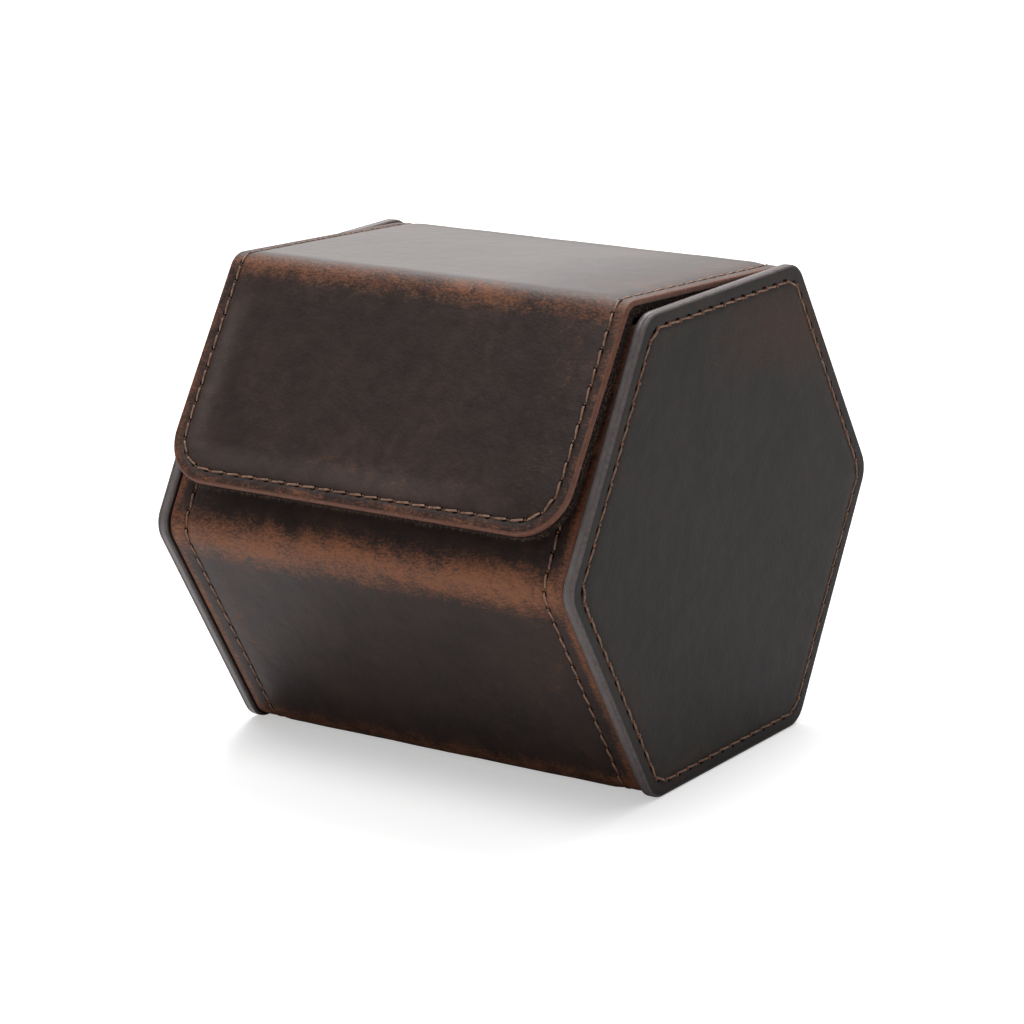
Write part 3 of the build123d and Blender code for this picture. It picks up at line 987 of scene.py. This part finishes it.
def rounded_hexagon(apothem, radius, side_steps=14, corner_steps=7):
    """Hexagon with round corners, as (y, z)."""
    corner_reach = (apothem - radius) / math.cos(math.pi / 6)
    loop = []
    for i in range(6):
        middle = i * math.pi / 3
        centre = corner_reach * toward_angle(middle)
        for a in np.linspace(middle - math.pi / 6, middle + math.pi / 6, corner_steps + 1):
            loop.append(centre + radius * toward_angle(a))
        after = middle + math.pi / 3
        start = loop[-1]
        end = corner_reach * toward_angle(after) + radius * toward_angle(after - math.pi / 6)
        loop += [start + (end - start) * t for t in np.linspace(0, 1, side_steps + 1)[1:-1]]
    return [(float(y), float(z) + AXIS_HEIGHT) for y, z in loop]


def panel_loop(inset):
    return rounded_hexagon(PANEL_APOTHEM - inset, max(PANEL_RADIUS - inset, 0.4))


def toward(loop, middle, share):
    return [(middle[0] + (y - middle[0]) * share, middle[1] + (z - middle[1]) * share) for y, z in loop]


def panel_mesh(insets, shares):
    flat = Flat()
    loops = [panel_loop(inset) for inset in insets]
    loops += [toward(loops[-1], AXIS, share) for share in shares]
    flat.rings(loops)
    return flat


def panel_inset(y, z):
    """Distance from the panel's edge."""
    angle = (np.arctan2(z - AXIS_HEIGHT, y) + math.pi / 6) % (math.pi / 3) - math.pi / 6
    reach = np.hypot(y, z - AXIS_HEIGHT)
    across, side = reach * np.cos(angle), np.abs(reach * np.sin(angle))
    apothem = reach * np.cos(math.pi / 6 - np.abs(angle))
    centre = (PANEL_APOTHEM - PANEL_RADIUS) / math.cos(math.pi / 6)
    in_corner = (across > centre) & (side < (across - centre) * math.tan(math.pi / 6))
    return np.where(in_corner, PANEL_RADIUS - np.hypot(across - centre, side), PANEL_APOTHEM - apothem)


def panel_top(y, z):
    inset = panel_inset(y, z)
    band = PANEL_SINK * (1 - smooth(PANEL_SEAM - 0.2, PANEL_SEAM + 2.4, inset))
    groove = GROOVE_DEPTH * bell(inset - PANEL_SEAM, 0.40)
    return 0.6 * ripple(y, z) * smooth(4, 9, inset) - band - groove - rounded_rim(inset, PANEL_ROUND)


# Rubbed patches of the end panels: strength, middle and half size
PANEL_WEAR = [(1.1, (20, 80), (26, 11)), (0.50, (6, 6), (20, 6))]


def panel_looks(y, z):
    inset = panel_inset(y, z)
    wear = 0.0 * y
    for strength, middle, size in PANEL_WEAR:
        patch = bell(np.hypot((y - middle[0]) / size[0], (z - middle[1]) / size[1]), 1.0)
        wear = np.maximum(wear, strength * patch)
    wear = np.maximum(wear, 0.45 * bell(inset - PANEL_SEAM - 1.6, 2.2))
    wear = np.maximum(wear, 0.40 * bell(inset - 1.6, 1.2))
    # The groove entry is painted shade along the stitch row; the panels get no wax bloom or painted
    # sheen
    return {"inset": inset, "wear": wear, "groove": 0.5 * bell(inset - PANEL_SEAM, 0.5), "bloom": 0 * y}


def on_end(side, surface):
    """Puts points (y, z) at a height above a surface of one end of the case."""
    def place(y, z, height):
        return np.column_stack([side * (surface + height), y, z]) * MM
    return place


def crease(y, z):
    """Small round-off where the panel's leather meets its backing."""
    return 0.1 * rounded_rim(panel_inset(y, z), 0.2)


def panel_under(y, z):
    return crease(y, z) - (PANEL_OUT - EDGE_CREASE)


def backing_top(y, z):
    depth = STIFFENER_DEPTH - (PANEL_OUT - EDGE_CREASE) + GLUE
    pocket = np.where(panel_inset(y, z) > STIFFENER_INSET - 0.04, depth, 0)
    return -pocket - crease(y, z)


def backing_bottom(y, z):
    return -(EDGE_CREASE - PANEL_IN) + rounded_rim(panel_inset(y, z), PANEL_ROUND)


# Mesh lines of the panels and plugs: distances from the edge, then shares of the way out from the middle
PANEL_RIM = [0, 0.04, 0.15, 0.3, 0.5, 0.9, 1.5, 2.1, 2.4, 2.65, 2.9, 3.15, 3.4, 3.9, 4.6, 5.6, 7.5]
PANEL_SHARES = [0.9, 0.8, 0.68, 0.56, 0.44, 0.32, 0.2, 0.1, 0.03]
BACKING_RIM = [0, 0.04, 0.15, 0.3, 0.5, 1.5, 3.0, 4.93, 5.0, 7.5]
BACKING_SHARES = [0.6, 0.3]
PLUG_SHARES = [1, 0.998, 0.994, 0.988, 0.95, 0.9, 0.75, 0.55, 0.3, 0.08]


def add_panel(side, end):
    skin = thicken(
        f"panel_skin_{end}", panel_mesh(PANEL_RIM, PANEL_SHARES), panel_top, panel_under,
        on_end(side, PANEL_OUT), [PANEL_LEATHER, SUEDE], panel_looks, mirrored=side < 0,
    )
    finish_piece(skin, "panel_leather", [f"end_panel_{end}_leather"], body="case")
    backing = thicken(
        f"panel_backing_{end}", panel_mesh(BACKING_RIM, BACKING_SHARES), backing_top, backing_bottom,
        on_end(side, EDGE_CREASE), [EDGE_PAINT, PANEL_LEATHER], panel_looks, mirrored=side < 0,
    )
    finish_piece(backing, "panel_edge", [f"end_panel_{end}_backing"], body="case")


# End plugs, which close the inside of the tube

def cut_below(loop, point, way):
    """The part of a closed loop to the left of a line."""
    normal = np.array([-way[1], way[0]])
    kept = []
    for a, b in zip(loop, loop[1:] + loop[:1]):
        high_a, high_b = (np.array(a) - point) @ normal, (np.array(b) - point) @ normal
        if high_a >= 0:
            kept.append(tuple(a))
        if high_a * high_b < 0:
            kept.append(tuple(np.array(a) + (np.array(b) - np.array(a)) * high_a / (high_a - high_b)))
    return kept


def evenly(path, pitch, closed=False):
    """Points at nearly equal steps along a path, with its ends kept."""
    path = np.array(list(path) + ([path[0]] if closed else []), float)
    steps = np.hypot(*np.diff(path, axis=0).T)
    along = np.concatenate([[0], np.cumsum(steps)])
    count = max(1, round(along[-1] / pitch))
    at = np.linspace(0, along[-1], count + 1)
    found = np.column_stack([np.interp(at, along, path[:, 0]), np.interp(at, along, path[:, 1])])
    return found[:-1] if closed else found


def plug_outline():
    normal = np.array([math.sin(LID_SLOPE), math.cos(LID_SLOPE)])
    under_lid = REAR_CORNER - normal * (LID_DEPTH + PLUG_LID_GAP)
    cut = cut_below(rounded_hexagon(PLUG_APOTHEM, PLUG_RADIUS), under_lid, LID_WAY)
    return [tuple(p) for p in evenly(cut, PLUG_STEP, closed=True)]


def add_plug(side, end):
    outline = plug_outline()
    middle = np.mean(outline, 0)
    flat = Flat()
    flat.rings([toward(outline, middle, share) for share in PLUG_SHARES])

    def inset_of(y, z):
        corners = np.array(outline)
        ways = np.roll(corners, -1, axis=0) - corners
        ways /= np.linalg.norm(ways, axis=1)[:, None]
        gaps = [way[0] * (z - a[1]) - way[1] * (y - a[0]) for a, way in zip(corners, ways)]
        return np.maximum(np.min(gaps, axis=0), 0)

    def face(y, z):
        inset = inset_of(y, z)
        nap = 0.03 * np.sin(y * 0.9) * np.sin(z * 1.1)
        return 0.15 * smooth(2, 14, inset) - rounded_rim(inset, EDGE_ROUND) + nap

    plug = thicken(
        f"plug_suede_{end}", flat, face, level(PANEL_IN - PLUG_IN), on_end(-side, -PLUG_IN), [SUEDE],
        no_edge, mirrored=side > 0,
    )
    finish_piece(plug, "suede", [f"end_plug_{end}"], body="case")


for side, end in SIDES:
    add_panel(side, end)
    add_plug(side, end)


# Stitches

def ellipse(middle, half_a, half_b, count):
    """Points round an oval with two half axes."""
    angles = turns(count)
    return middle + np.outer(np.cos(angles), half_a) + np.outer(np.sin(angles), half_b)


class Seam:
    """Stitches in one mesh: twisted threads, with a knot and a dark slot of painted hole shade where
    each dives in.
    """

    def __init__(self, place, surface, under=False, mirrored=False, holes=WRAP_HOLES):
        self.place, self.surface, self.sign = place, surface, -1 if under else 1
        self.flipped = under != mirrored
        self.knot_radius, self.slot_size, self.slot_shift = holes
        self.verts, self.sheet, self.faces, self.slot_ids = [], [], [], []

    def add(self, uv, height, faces, slot_id):
        uv, height = np.vstack(uv), np.hstack(height)
        first = sum(len(part) for part in self.verts)
        high = self.surface(uv[:, 0], uv[:, 1]) + self.sign * height
        self.verts.append(self.place(uv[:, 0], uv[:, 1], high))
        self.sheet.append(np.column_stack([uv, high]))
        for face in faces:
            face = [i + first for i in face]
            self.faces.append(face[::-1] if self.flipped else face)
            self.slot_ids.append(slot_id)

    def thread(self, start, way, length):
        across = np.array([-way[1], way[0]])
        angles = turns(STITCH_SIDES)
        uv, height = [], []
        for t in np.linspace(0, 1, STITCH_RINGS):
            along = length * (STITCH_MARGIN + t * (1 - 2 * STITCH_MARGIN))
            centre = start + way * along + across * STITCH_SLANT * (1 - 2 * t)
            radii = THREAD_RADIUS * (1 + STRAND_RELIEF * np.cos(STRANDS * angles - THREAD_TWIST * t))
            uv.append(centre + np.outer(radii * np.cos(angles), across))
            height.append(THREAD_LIFT - THREAD_DIVE * (2 * t - 1) ** 6 + radii * np.sin(angles))
        last = (STITCH_RINGS - 1) * STITCH_SIDES
        faces = [tuple(reversed(range(STITCH_SIDES))), tuple(range(last, last + STITCH_SIDES))]
        self.add(uv, height, faces + tube_faces(STITCH_RINGS, STITCH_SIDES), 0)

    def knot(self, middle, way):
        """Small round lump of thread in the needle hole."""
        across = np.array([-way[1], way[0]])
        size = self.knot_radius * random.uniform(*KNOT_SPREAD)
        middle = middle + across * random.uniform(*KNOT_SHIFT)
        uv, height = [middle], [-0.15 - size]
        for latitude in KNOT_LATITUDES:
            radius = size * math.cos(latitude)
            uv.append(ellipse(middle, way * radius * 1.15, across * radius, STITCH_SIDES))
            height.append(np.full(STITCH_SIDES, 0.02 + size * 0.8 * math.sin(latitude)))
        uv.append(middle)
        height.append(0.02 + size * 0.8)
        faces = tube_faces(len(KNOT_LATITUDES), STITCH_SIDES, first=1)
        top = 1 + (len(KNOT_LATITUDES) - 1) * STITCH_SIDES
        for k in range(STITCH_SIDES):
            j = (k + 1) % STITCH_SIDES
            faces += [(0, 1 + j, 1 + k), (top + k, top + j, top + STITCH_SIDES)]
        self.add(uv, height, faces, 2)

    def slot(self, middle, way):
        """Thin dark lens of painted shade in the needle hole, which follows the surface, a little across
        the row.
        """
        half_length, half_width = self.slot_size
        across = np.array([-way[1], way[0]])
        middle = middle + across * self.slot_shift + way * half_length * 0.9
        long_way = (way - SLOT_TURN * across) * half_length
        rim = ellipse(middle, long_way, across * half_width, SLOT_POINTS)
        faces = []
        for k in range(SLOT_POINTS):
            j = (k + 1) % SLOT_POINTS
            faces += [(k, j, SLOT_POINTS), (j, k, SLOT_POINTS + 1)]
        self.add([rim, middle, middle], [np.full(SLOT_POINTS, 0.05), 0.07, -0.2], faces, 1)

    def row(self, holes, closed=False, keep=None):
        """Stitches from hole to hole along a line. keep(low, high) picks them by their place along v."""
        ends = list(holes) + ([holes[0]] if closed else [])
        for start, end in zip(ends, ends[1:]):
            start, end = np.array(start), np.array(end)
            low, high = sorted((start[1], end[1]))
            if keep and not keep(low, high):
                continue
            length = np.linalg.norm(end - start)
            way = (end - start) / length
            self.thread(start, way, length)
            self.knot(start, way)
            self.slot(start, way)

    def finish(self, name, **motion):
        materials = [THREAD, NEEDLE_HOLE_SHADE, KNOT]
        obj = add_object(name, np.vstack(self.verts), self.faces, materials, self.slot_ids)
        set_vectors(obj, "sheet", np.vstack(self.sheet))
        return finish_piece(obj, None, **motion)


def seam_line(side, start, end):
    """Side stitches of the wrap from one row to another."""
    s = np.linspace(start, end, 60)
    width = np.where(s < WALL_END, WALL_HALF_WIDTH, LID_HALF_WIDTH)
    return [(side * (w - seam), v) for w, seam, v in zip(width, seam_inset(s), s)]


def flap_line():
    """Stitches from the rear fold over the lid, round the flap and back."""
    return with_mirror(seam_line(1, WRAP.middle(REAR), CORNER_ROW) + flap_corner(FLAP_SEAM, 12)[1:])


def wrap_rows():
    """The rows of needle holes along the wrap."""
    wall = [evenly(seam_line(side, 3.0, WRAP.middle(REAR)), WALL_PITCH) for side in (-1, 1)]
    return wall + [evenly(flap_line(), FLAP_PITCH)]


FOLD_REACH = 0.6  # how far a stitch of a rigid part may reach onto a fold


def stitches_of(part):
    """Picks a part's stitches by their ends along the leather. A fold takes what the others leave."""
    start, end = PARTS[part][:2]
    if part.endswith("fold"):
        return lambda low, high: high > start + FOLD_REACH and low < end - FOLD_REACH
    return lambda low, high: low >= start - FOLD_REACH and high <= end + FOLD_REACH


def outer_surface(x, s):
    return np.where(s <= WALL_END, wall_height(x, s), lid_height(x, s))


def under_surface(x, s):
    depth = np.where(s <= WALL_END, wall_under(x, s), lid_under(x, s))
    fold = (s > WALL_END) & (s < LID_START)
    return np.where(fold, -FOLD_SUEDE_DEPTH, depth)


random.seed(11)
LIP_ENDS = [(side * (WALL_HALF_WIDTH - WALL_SEAM), LIP + LIP_SEAM) for side in (-1, 1)]
LIP_ROW = evenly(LIP_ENDS, WALL_PITCH)
ROW_LAYERS = (("stitches", outer_surface, False), ("inner_stitches", under_surface, True))

for part in PARTS:
    for label, surface, under in ROW_LAYERS:
        if under and part == "front_fold":
            continue  # here the thread sinks into the suede
        seam = Seam(WRAP.place, surface, under, mirrored=True)
        for holes in wrap_rows():
            seam.row(holes, keep=stitches_of(part))
        if part == "wall":
            seam.row(LIP_ROW)
        seam.finish(f"{part}_{label}", **PARTS[part][2])

for side, end in SIDES:
    seam = Seam(on_end(side, PANEL_OUT), panel_top, mirrored=side < 0, holes=PANEL_HOLES)
    seam.row(evenly(panel_loop(PANEL_SEAM), PANEL_PITCH, closed=True), closed=True)
    seam.finish(f"panel_stitches_{end}", body="case")


# Loose fibres along the raw edges of the suede

SHORTEST_FIBRE, SIDE_FIBRE, LONGEST_FIBRE = 0.25, 0.42, 0.95  # the end panels are near the sides
FIBRE_LIMITS = (0.022, 0.045), (-0.8, 0.8), (-0.7, 0.5)  # radius, lean and drop
FIBRE_RINGS = (-0.25, 1.0, 0.0), (0.55, 0.7, 0.25), (1.0, 0.06, 1.0)  # share of length, width, bend


class Fringe:
    """Short bent fibres, each a closed spike of three sides."""

    def __init__(self):
        self.verts, self.faces = [], []

    def add(self, uv, out, depth, longest):
        """A fibre at a point of the edge, towards out."""
        limits = [(SHORTEST_FIBRE, longest), *FIBRE_LIMITS]
        length, radius, lean, drop = [random.uniform(*pair) for pair in limits]
        along = np.array([-out[1], out[0]])
        first = len(self.verts)
        for share, width, bend in FIBRE_RINGS:
            centre = uv + out * length * share + along * length * lean * share * (0.4 + bend)
            high = -depth + drop * length * max(share, 0) * (0.5 + bend)
            for angle in turns(3):
                point = centre + along * radius * width * math.cos(angle)
                self.verts.append((*point, high + radius * width * math.sin(angle)))
        self.faces += [(first + 2, first + 1, first), (first + 6, first + 7, first + 8)]
        self.faces += tube_faces(3, 3, first)

    def finish(self, name, body):
        points = np.array(self.verts)
        faces = [tuple(reversed(f)) for f in self.faces]
        obj = add_object(name, WRAP.place(*points.T), faces, [FIBRE])
        set_vectors(obj, "sheet", points)
        finish_piece(obj, "suede", body=body)


def flap_edge(inset):
    """The flap's free edge from its right side to its left one."""
    return with_mirror([(LID_HALF_WIDTH - inset, FLAP_START + 1)] + flap_corner(inset, 12))


def add_fringe(name, path, outward, per_mm, top, bottom, body):
    """Fibres along a path; outward is 1 where the open side lies to the right of it."""
    fringe = Fringe()
    line = evenly(path, 1 / per_mm)
    for a, b in zip(line, line[1:]):
        way = (b - a) / np.linalg.norm(b - a)
        out = outward * np.array([way[1], -way[0]])
        longest = SIDE_FIBRE if abs(out[0]) > 0.7 else LONGEST_FIBRE
        fringe.add(a + (b - a) * random.random(), out, random.uniform(top, bottom), longest)
    fringe.finish(name, body)


add_fringe("flap_fibres", flap_edge(0.25), 1, 6, LEATHER + 0.5, LID_DEPTH - 0.15, "flap")
for side, end in SIDES:
    x = side * (LID_HALF_WIDTH - 0.2)
    path = [(x, LID_START + 1), (x, LID_END - 1)]
    add_fringe(f"lid_fibres_{end}", path, side, 4, LEATHER + 0.5, LID_DEPTH - 0.2, "lid")


# Watch pillow

# The sleeve is simulated at a larger scale; its voxel, slack and limit are in millimetres at true size
SIMULATION_SCALE = 10.0
PRESSURE, STEPS, VOXEL, SLACK, PUFF_LIMIT = 4.0, 20, 2.4, 0.8, 0.9
SEAM_PRESS, PILLOW_SEAM_DEPTH, PILLOW_HOLES = 0.45, 0.35, 45
CAP_RIM = [0, 0.05, 0.17, 0.35, 0.6, 1.2, 2.2, 3.5, 6, 10, 15, 19]


def pillow_radii(x):
    drawn_in = PILLOW_CROWN * (x / PILLOW_HALF_LENGTH) ** 2
    return PILLOW_HALF_DEPTH - drawn_in, PILLOW_HALF_HEIGHT - drawn_in


def on_pillow(angle, x, height):
    """Points at a height over the pillow's oval surface, at angles round it."""
    depth, tall = pillow_radii(x)
    y = (depth + height) * np.cos(angle)
    z = PILLOW_MIDDLE + (tall + height) * np.sin(angle)
    return np.column_stack([x, y, z]) * MM


def pillow_start(inset, half_length, around=48, along=17):
    """Closed oval roll for the simulation to fill."""
    rings = np.linspace(-half_length, half_length, along)
    verts = [on_pillow(turns(around), np.full(around, x), -inset) for x in rings]
    last = (along - 1) * around
    caps = [tuple(range(around))[::-1], tuple(range(last, last + around))]
    return np.vstack(verts), tube_faces(along, around) + caps


def read_points(mesh):
    points = np.empty(len(mesh.vertices) * 3)
    mesh.vertices.foreach_get("co", points)
    return points.reshape(-1, 3)


def apply_modifiers(obj):
    """Replaces a mesh with what its modifiers make of it."""
    graph = bpy.context.evaluated_depsgraph_get()
    made = bpy.data.meshes.new_from_object(obj.evaluated_get(graph))
    obj.modifiers.clear()
    obj.data = made


def puff_up(obj, limit, pinned):
    """Fills a closed mesh with air as cloth, and keeps each point within a distance of its start."""
    start = read_points(obj.data)
    group = obj.vertex_groups.new(name="pinned")
    group.add([int(i) for i in np.flatnonzero(pinned(start))], 1.0, "REPLACE")
    cloth = obj.modifiers.new("cloth", "CLOTH")
    cloth.settings.use_pressure = True
    cloth.settings.uniform_pressure_force = PRESSURE
    cloth.settings.vertex_group_mass = group.name
    cloth.settings.effector_weights.gravity = 0
    scene = bpy.context.scene
    for number in range(1, STEPS + 1):
        scene.frame_set(number)
    graph = bpy.context.evaluated_depsgraph_get()
    filled = read_points(obj.evaluated_get(graph).data)
    obj.modifiers.clear()
    scene.frame_set(1)
    moved = filled - start
    distance = np.linalg.norm(moved, axis=1)[:, None]
    moved *= np.minimum(1, limit / np.maximum(distance, 1e-9))
    obj.data.vertices.foreach_set("co", (start + moved).ravel())


def add_sleeve():
    """Suede sleeve over the foam, filled by cloth simulation and pinned at its sewn ends."""
    half_length = PILLOW_HALF_LENGTH - PILLOW_CAP
    verts, faces = pillow_start(SLACK, half_length)
    obj = add_object("pillow_sleeve", verts * SIMULATION_SCALE, faces, [PILLOW_SUEDE])
    remesh = obj.modifiers.new("remesh", "REMESH")
    remesh.mode, remesh.voxel_size = "VOXEL", VOXEL * MM * SIMULATION_SCALE
    apply_modifiers(obj)
    end = (half_length - 1.2) * MM * SIMULATION_SCALE
    puff_up(obj, PUFF_LIMIT * MM * SIMULATION_SCALE, lambda at: np.abs(at[:, 0]) > end)
    obj.data.transform(Matrix.Scale(1 / SIMULATION_SCALE, 4))
    smoothing = obj.modifiers.new("subdivision", "SUBSURF")
    smoothing.levels = smoothing.render_levels = 1
    apply_modifiers(obj)
    draw_in_seams(obj)
    obj.data.polygons.foreach_set("use_smooth", [True] * len(obj.data.polygons))
    points = read_points(obj.data) / MM
    set_vectors(obj, "sheet", points)
    set_floats(obj, "inset", np.full(len(points), NO_EDGE))
    finish_piece(obj, "pillow_suede", ["pillow_cover", "pillow_core"], body="pillow")


def draw_in_seams(obj):
    """Presses the sleeve in along the stitches near each end."""
    points = read_points(obj.data)
    x = points[:, 0] / MM
    pressed = SEAM_PRESS * bell(np.abs(x) - PILLOW_HALF_LENGTH + PILLOW_CAP + CAP_SEAM, 0.9)
    middle = np.array([0, PILLOW_MIDDLE * MM])
    across = points[:, 1:] - middle
    reach = np.linalg.norm(across, axis=1)
    share = 1 - pressed * MM / np.maximum(reach, 8 * MM)
    points[:, 1:] = middle + across * share[:, None]
    obj.data.vertices.foreach_set("co", points.ravel())


def add_cap(side, end):
    """Sewn suede disc on one end of the pillow, with a soft rim."""
    start = PILLOW_HALF_LENGTH - PILLOW_CAP
    depth, tall = pillow_radii(start)
    y, z = np.cos(turns(72)), np.sin(turns(72))
    flat = Flat()
    flat.rings([list(zip((depth - i) * y, PILLOW_MIDDLE + (tall - i) * z)) for i in CAP_RIM])

    def inset_of(y, z):
        reach = np.hypot(y / depth, (z - PILLOW_MIDDLE) / tall)
        return (1 - reach) * (depth + tall) / 2

    def face(y, z):
        inset = np.maximum(inset_of(y, z), 0)
        return 0.10 * smooth(3, 10, inset) - 0.18 * bell(inset - 2.2, 0.7) - rounded_rim(inset, 0.6)

    cap = thicken(
        f"pillow_end_{end}", flat, face, level(PILLOW_CAP), on_end(side, PILLOW_HALF_LENGTH),
        [PILLOW_SUEDE], no_edge, mirrored=side < 0,
    )
    finish_piece(cap, "pillow_suede", [f"pillow_cap_{end}"], body="pillow")


def add_pillow_seam(side, end):
    """Stitches round the sleeve, next to its end."""
    x = side * (PILLOW_HALF_LENGTH - PILLOW_CAP - CAP_SEAM)
    mean_radius = (PILLOW_HALF_DEPTH + PILLOW_HALF_HEIGHT) / 2

    def place(u, v, height):
        return on_pillow(u / mean_radius, v, height)

    seam = Seam(place, level(PILLOW_SEAM_DEPTH))
    seam.row([(angle * mean_radius, x) for angle in turns(PILLOW_HOLES)])
    seam.finish(f"pillow_stitches_{end}", body="pillow")


add_sleeve()
for side, end in SIDES:
    add_cap(side, end)
    add_pillow_seam(side, end)


# Camera, light and floor

def aim_camera():
    right = Vector((math.cos(AZIMUTH), math.sin(AZIMUTH), 0))
    front = Vector((math.sin(AZIMUTH), -math.cos(AZIMUTH), 0))
    back = front * math.cos(ELEVATION) + Vector((0, 0, math.sin(ELEVATION)))
    up = back.cross(right)
    x_axis = math.cos(ROLL) * right + math.sin(ROLL) * up
    y_axis = -math.sin(ROLL) * right + math.cos(ROLL) * up
    data = bpy.data.cameras.new("camera")
    data.lens, data.sensor_width = LENS, SENSOR
    data.clip_start, data.clip_end = 0.05, 20.0
    camera = link("camera", data)
    camera.matrix_world = Matrix(
        [(x_axis[i], y_axis[i], back[i], CAMERA_PLACE[i]) for i in range(3)] + [(0, 0, 0, 1)]
    )
    bpy.context.scene.camera = camera


def add_lamp(name, place, target, size, power):
    data = bpy.data.lights.new(name, "AREA")
    data.shape, data.size, data.size_y = "RECTANGLE", size[0], size[1]
    data.energy = power
    lamp = link(name, data)
    lamp.location = place
    lamp.rotation_mode = "QUATERNION"
    lamp.rotation_quaternion = (Vector(target) - Vector(place)).to_track_quat("-Z", "Y")


def add_floor():
    mesh = bpy.data.meshes.new("floor")
    corners = [(x * FLOOR_REACH, y * FLOOR_REACH, 0) for x, y in ((-1, -1), (1, -1), (1, 1), (-1, 1))]
    mesh.from_pydata(corners, [], [(0, 1, 2, 3)])
    sh = Shader("floor")
    diffuse = sh.add("BsdfDiffuse", Color=FLOOR_COLOUR)
    glow = sh.add("Emission", Color=WHITE, Strength=sh.math("MULTIPLY", sh.seen_directly(), FLOOR_GLOW))
    mesh.materials.append(sh.show(sh.add("AddShader", I0=diffuse.outputs[0], I1=glow.outputs[0])))
    link("floor", mesh)


def light_world():
    """White to the camera; bright behind the case and dim in front of it for the rest."""
    world = bpy.data.worlds.new("world")
    bpy.context.scene.world = world
    sh = Shader(world, "OutputWorld")
    way = sh.add("TexCoord").outputs["Generated"]
    facing = sh.add("VectorMath", operation="DOT_PRODUCT", I0=way, I1=Vector(BRIGHT_SIDE).normalized())
    strength = sh.range(facing.outputs["Value"], DIM_FACING, BRIGHT_FACING, WORLD_DIM, WORLD_BRIGHT)
    strength = sh.add("Mix", I0=sh.seen_directly(), I2=strength, I3=1.0).outputs[0]
    sh.show(sh.add("Background", Color=WHITE, Strength=strength))


aim_camera()
add_floor()
light_world()
for name, lamp in LAMPS.items():
    add_lamp(name, *lamp)
bpy.context.scene.view_settings.view_transform = "Standard"
